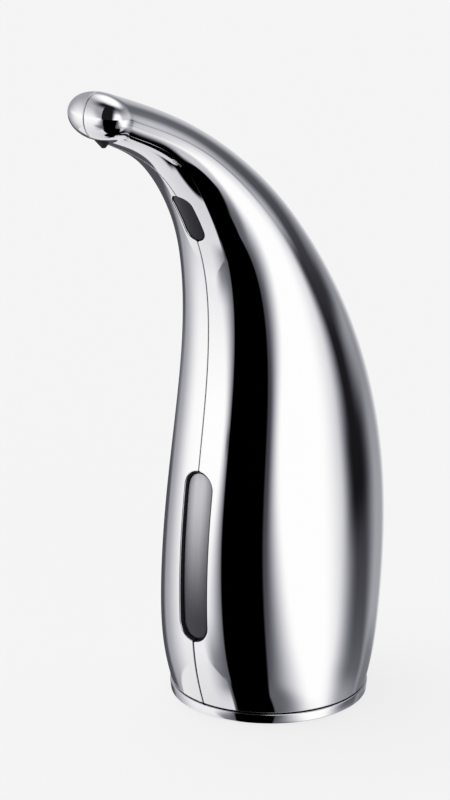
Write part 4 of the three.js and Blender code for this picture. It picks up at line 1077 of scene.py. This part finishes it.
def card_cover(tree, side, height, card):
    """How much a card hides, from 0 outside it to 1 inside."""
    off = value_of(tree, "WRAP", value_of(tree, "SUBTRACT", side, card.middle), HALF_TURN, -HALF_TURN)
    cover = remapped(tree, height, card.low[0] - card.low[1], card.low[0], 0.0, 1.0)
    above = remapped(tree, height, card.high[0], card.high[0] + card.high[1], 1.0, 0.0)
    cover = value_of(tree, "MULTIPLY", cover, above)
    for edges, way in ((card.left, -1), (card.right, 1)):
        (low_place, low_soft), (high_place, high_soft) = edges
        inner = leaning(tree, height, card, low_place, high_place)
        outer = leaning(tree, height, card, low_place + way * low_soft, high_place + way * high_soft)
        if way < 0:
            step = remapped(tree, off, outer, inner, 0.0, 1.0)
        else:
            step = remapped(tree, off, inner, outer, 1.0, 0.0)
        cover = value_of(tree, "MULTIPLY", cover, step)
    return cover


def laid_over(tree, below, level, cover):
    """A level mixed over what lies below it, as far as its cover goes."""
    mix = tree.nodes.new("ShaderNodeMix")
    connect(tree, cover, mix.inputs["Factor"])
    connect(tree, below, mix.inputs["A"])
    connect(tree, level, mix.inputs["B"])
    return mix.outputs["Result"]


print("soft steps in the room:", 4 * len(CARDS))

# %% [markdown]
# One round lamp, high behind the product, joins the cards and lights the top of the neck. Dim parts of the
# room are a little blue, which gives the chrome its cool greys.

# %% Write the lamp and the tint
DISC_SIDE = 165
DISC_HEIGHT = 70
DISC_RADIUS = 18
DISC_SOFTNESS = 24
DISC_LEVEL = 1.08
COOL_TINT = (1.0, 0.995, 1.24)
NEUTRAL_TINT = (1.0, 1.0, 1.0)
VECTOR_A = 4
VECTOR_B = 5
VECTOR_RESULT = 1


def direction_of(side, height):
    """The direction in the room at a place given from the camera's side, in degrees."""
    turn = camera_azimuth + math.radians(side)
    rise = math.radians(height)
    return math.cos(rise) * math.cos(turn), math.cos(rise) * math.sin(turn), math.sin(rise)


def lamp_cover(tree, direction):
    """How much the round lamp covers, from 1 in its middle to 0 past its soft edge."""
    toward = tree.nodes.new("ShaderNodeVectorMath")
    toward.operation = "DOT_PRODUCT"
    tree.links.new(direction, toward.inputs[0])
    toward.inputs[1].default_value = direction_of(DISC_SIDE, DISC_HEIGHT)
    away = value_of(tree, "DEGREES", value_of(tree, "ARCCOSINE", toward.outputs["Value"]))
    return remapped(tree, away, DISC_RADIUS, DISC_RADIUS + DISC_SOFTNESS, 1.0, 0.0)


def tinted(tree, level):
    """A level as a colour, a little blue where it is dim."""
    shade = tree.nodes.new("ShaderNodeMix")
    shade.data_type = "VECTOR"
    connect(tree, value_of(tree, "SQRT", level), shade.inputs["Factor"])
    shade.inputs[VECTOR_A].default_value = COOL_TINT
    shade.inputs[VECTOR_B].default_value = NEUTRAL_TINT
    tint = tree.nodes.new("ShaderNodeVectorMath")
    tint.operation = "SCALE"
    tree.links.new(shade.outputs[VECTOR_RESULT], tint.inputs[0])
    connect(tree, level, tint.inputs["Scale"])
    return tint.outputs[0]


print("the lamp hangs toward", [round(v, 3) for v in direction_of(DISC_SIDE, DISC_HEIGHT)])

# %% [markdown]
# Now the room is put together in the world shader. It could be built from real planes that glow, but those
# would stand in the way of some views and would need leaving out of the exported model. The camera itself
# sees a plain pale backdrop instead of the cards, so the picture stays clean from every side.

# %% Hang the cards in the world shader
def build_room():
    """Builds the world shader and says how many nodes it took."""
    world = bpy.data.worlds.new("studio_room")
    bpy.context.scene.world = world
    world.use_nodes = True
    tree = world.node_tree
    tree.nodes.clear()
    direction = tree.nodes.new("ShaderNodeTexCoord").outputs["Generated"]
    split = tree.nodes.new("ShaderNodeSeparateXYZ")
    tree.links.new(direction, split.inputs[0])
    turn = value_of(tree, "DEGREES", value_of(tree, "ARCTAN2", split.outputs["Y"], split.outputs["X"]))
    side = value_of(tree, "SUBTRACT", turn, math.degrees(camera_azimuth))
    height = value_of(tree, "DEGREES", value_of(tree, "ARCSINE", split.outputs["Z"]))

    level = ROOM_LEVEL
    for card in CARDS:
        cover = card_cover(tree, side, height, card)
        level = laid_over(tree, level, leaning(tree, height, card, *card.level), cover)

    level = laid_over(tree, level, DISC_LEVEL, lamp_cover(tree, direction))

    room = tree.nodes.new("ShaderNodeBackground")
    tree.links.new(tinted(tree, level), room.inputs["Color"])
    backdrop = tree.nodes.new("ShaderNodeBackground")
    backdrop.inputs["Color"].default_value = (BACKGROUND_LEVEL, BACKGROUND_LEVEL, BACKGROUND_LEVEL, 1)
    seen = tree.nodes.new("ShaderNodeMixShader")
    output = tree.nodes.new("ShaderNodeOutputWorld")
    tree.links.new(tree.nodes.new("ShaderNodeLightPath").outputs["Is Camera Ray"], seen.inputs[0])
    tree.links.new(room.outputs[0], seen.inputs[1])
    tree.links.new(backdrop.outputs[0], seen.inputs[2])
    tree.links.new(seen.outputs[0], output.inputs["Surface"])
    return len(tree.nodes)


print("nodes in the world shader:", build_room())

# %% [markdown]
# The floor is plain paper. Most of what the camera sees of it is a level of its own, which keeps the
# picture's background even, and the rest is real light on paper, which keeps the soft shadow round the
# foot. The chrome looks past it to the low cards.

# %% Lay the floor
FLOOR_SIZE = 12.0
FLOOR_PAPER = 0.8
FLOOR_GLOW_SHARE = 0.85


def build_floor():
    """A plain paper floor that shows in no reflection."""
    mesh = bpy.data.meshes.new("studio_floor")
    half = FLOOR_SIZE / 2
    corners = [(-half, -half, 0), (half, -half, 0), (half, half, 0), (-half, half, 0)]
    mesh.from_pydata(corners, [], [(0, 1, 2, 3)])
    floor = bpy.data.objects.new("studio_floor", mesh)
    bpy.context.scene.collection.objects.link(floor)
    material, tree, shader = new_material("studio_paper")
    shader.inputs["Base Color"].default_value = (FLOOR_PAPER, FLOOR_PAPER, FLOOR_PAPER, 1)
    shader.inputs["Roughness"].default_value = 1.0
    shader.inputs["Specular IOR Level"].default_value = 0.0
    glow = tree.nodes.new("ShaderNodeEmission")
    glow.inputs["Color"].default_value = (BACKGROUND_LEVEL, BACKGROUND_LEVEL, BACKGROUND_LEVEL, 1)
    light_path = tree.nodes.new("ShaderNodeLightPath")
    seen = value_of(tree, "MULTIPLY", light_path.outputs["Is Camera Ray"], FLOOR_GLOW_SHARE)
    mix = tree.nodes.new("ShaderNodeMixShader")
    tree.links.new(seen, mix.inputs[0])
    tree.links.new(shader.outputs[0], mix.inputs[1])
    tree.links.new(glow.outputs[0], mix.inputs[2])
    tree.links.new(mix.outputs[0], tree.nodes["Material Output"].inputs["Surface"])
    floor.data.materials.append(material)
    floor.visible_glossy = False
    floor.visible_transmission = False
    return floor.name


print("laid:", build_floor())

# %% [markdown]
# One broad sun from above lights the floor and the pieces that aren't chrome. It is as soft as a cloudy
# sky, and the chrome doesn't show it.

# %% Hang a soft sun
SUN_STRENGTH = 1.6
SUN_SOFTNESS = math.radians(60)
SUN_TILT = math.radians(25)
SUN_TURN = math.radians(-60)


def soft_sun():
    """A broad light from above that shows in no reflection."""
    data = bpy.data.lights.new("soft_sun", "SUN")
    data.angle = SUN_SOFTNESS
    data.energy = SUN_STRENGTH
    sun = bpy.data.objects.new("soft_sun", data)
    sun.rotation_euler = (SUN_TILT, 0, SUN_TURN)
    sun.visible_glossy = False
    bpy.context.scene.collection.objects.link(sun)
    return sun.name


print("hung:", soft_sun())
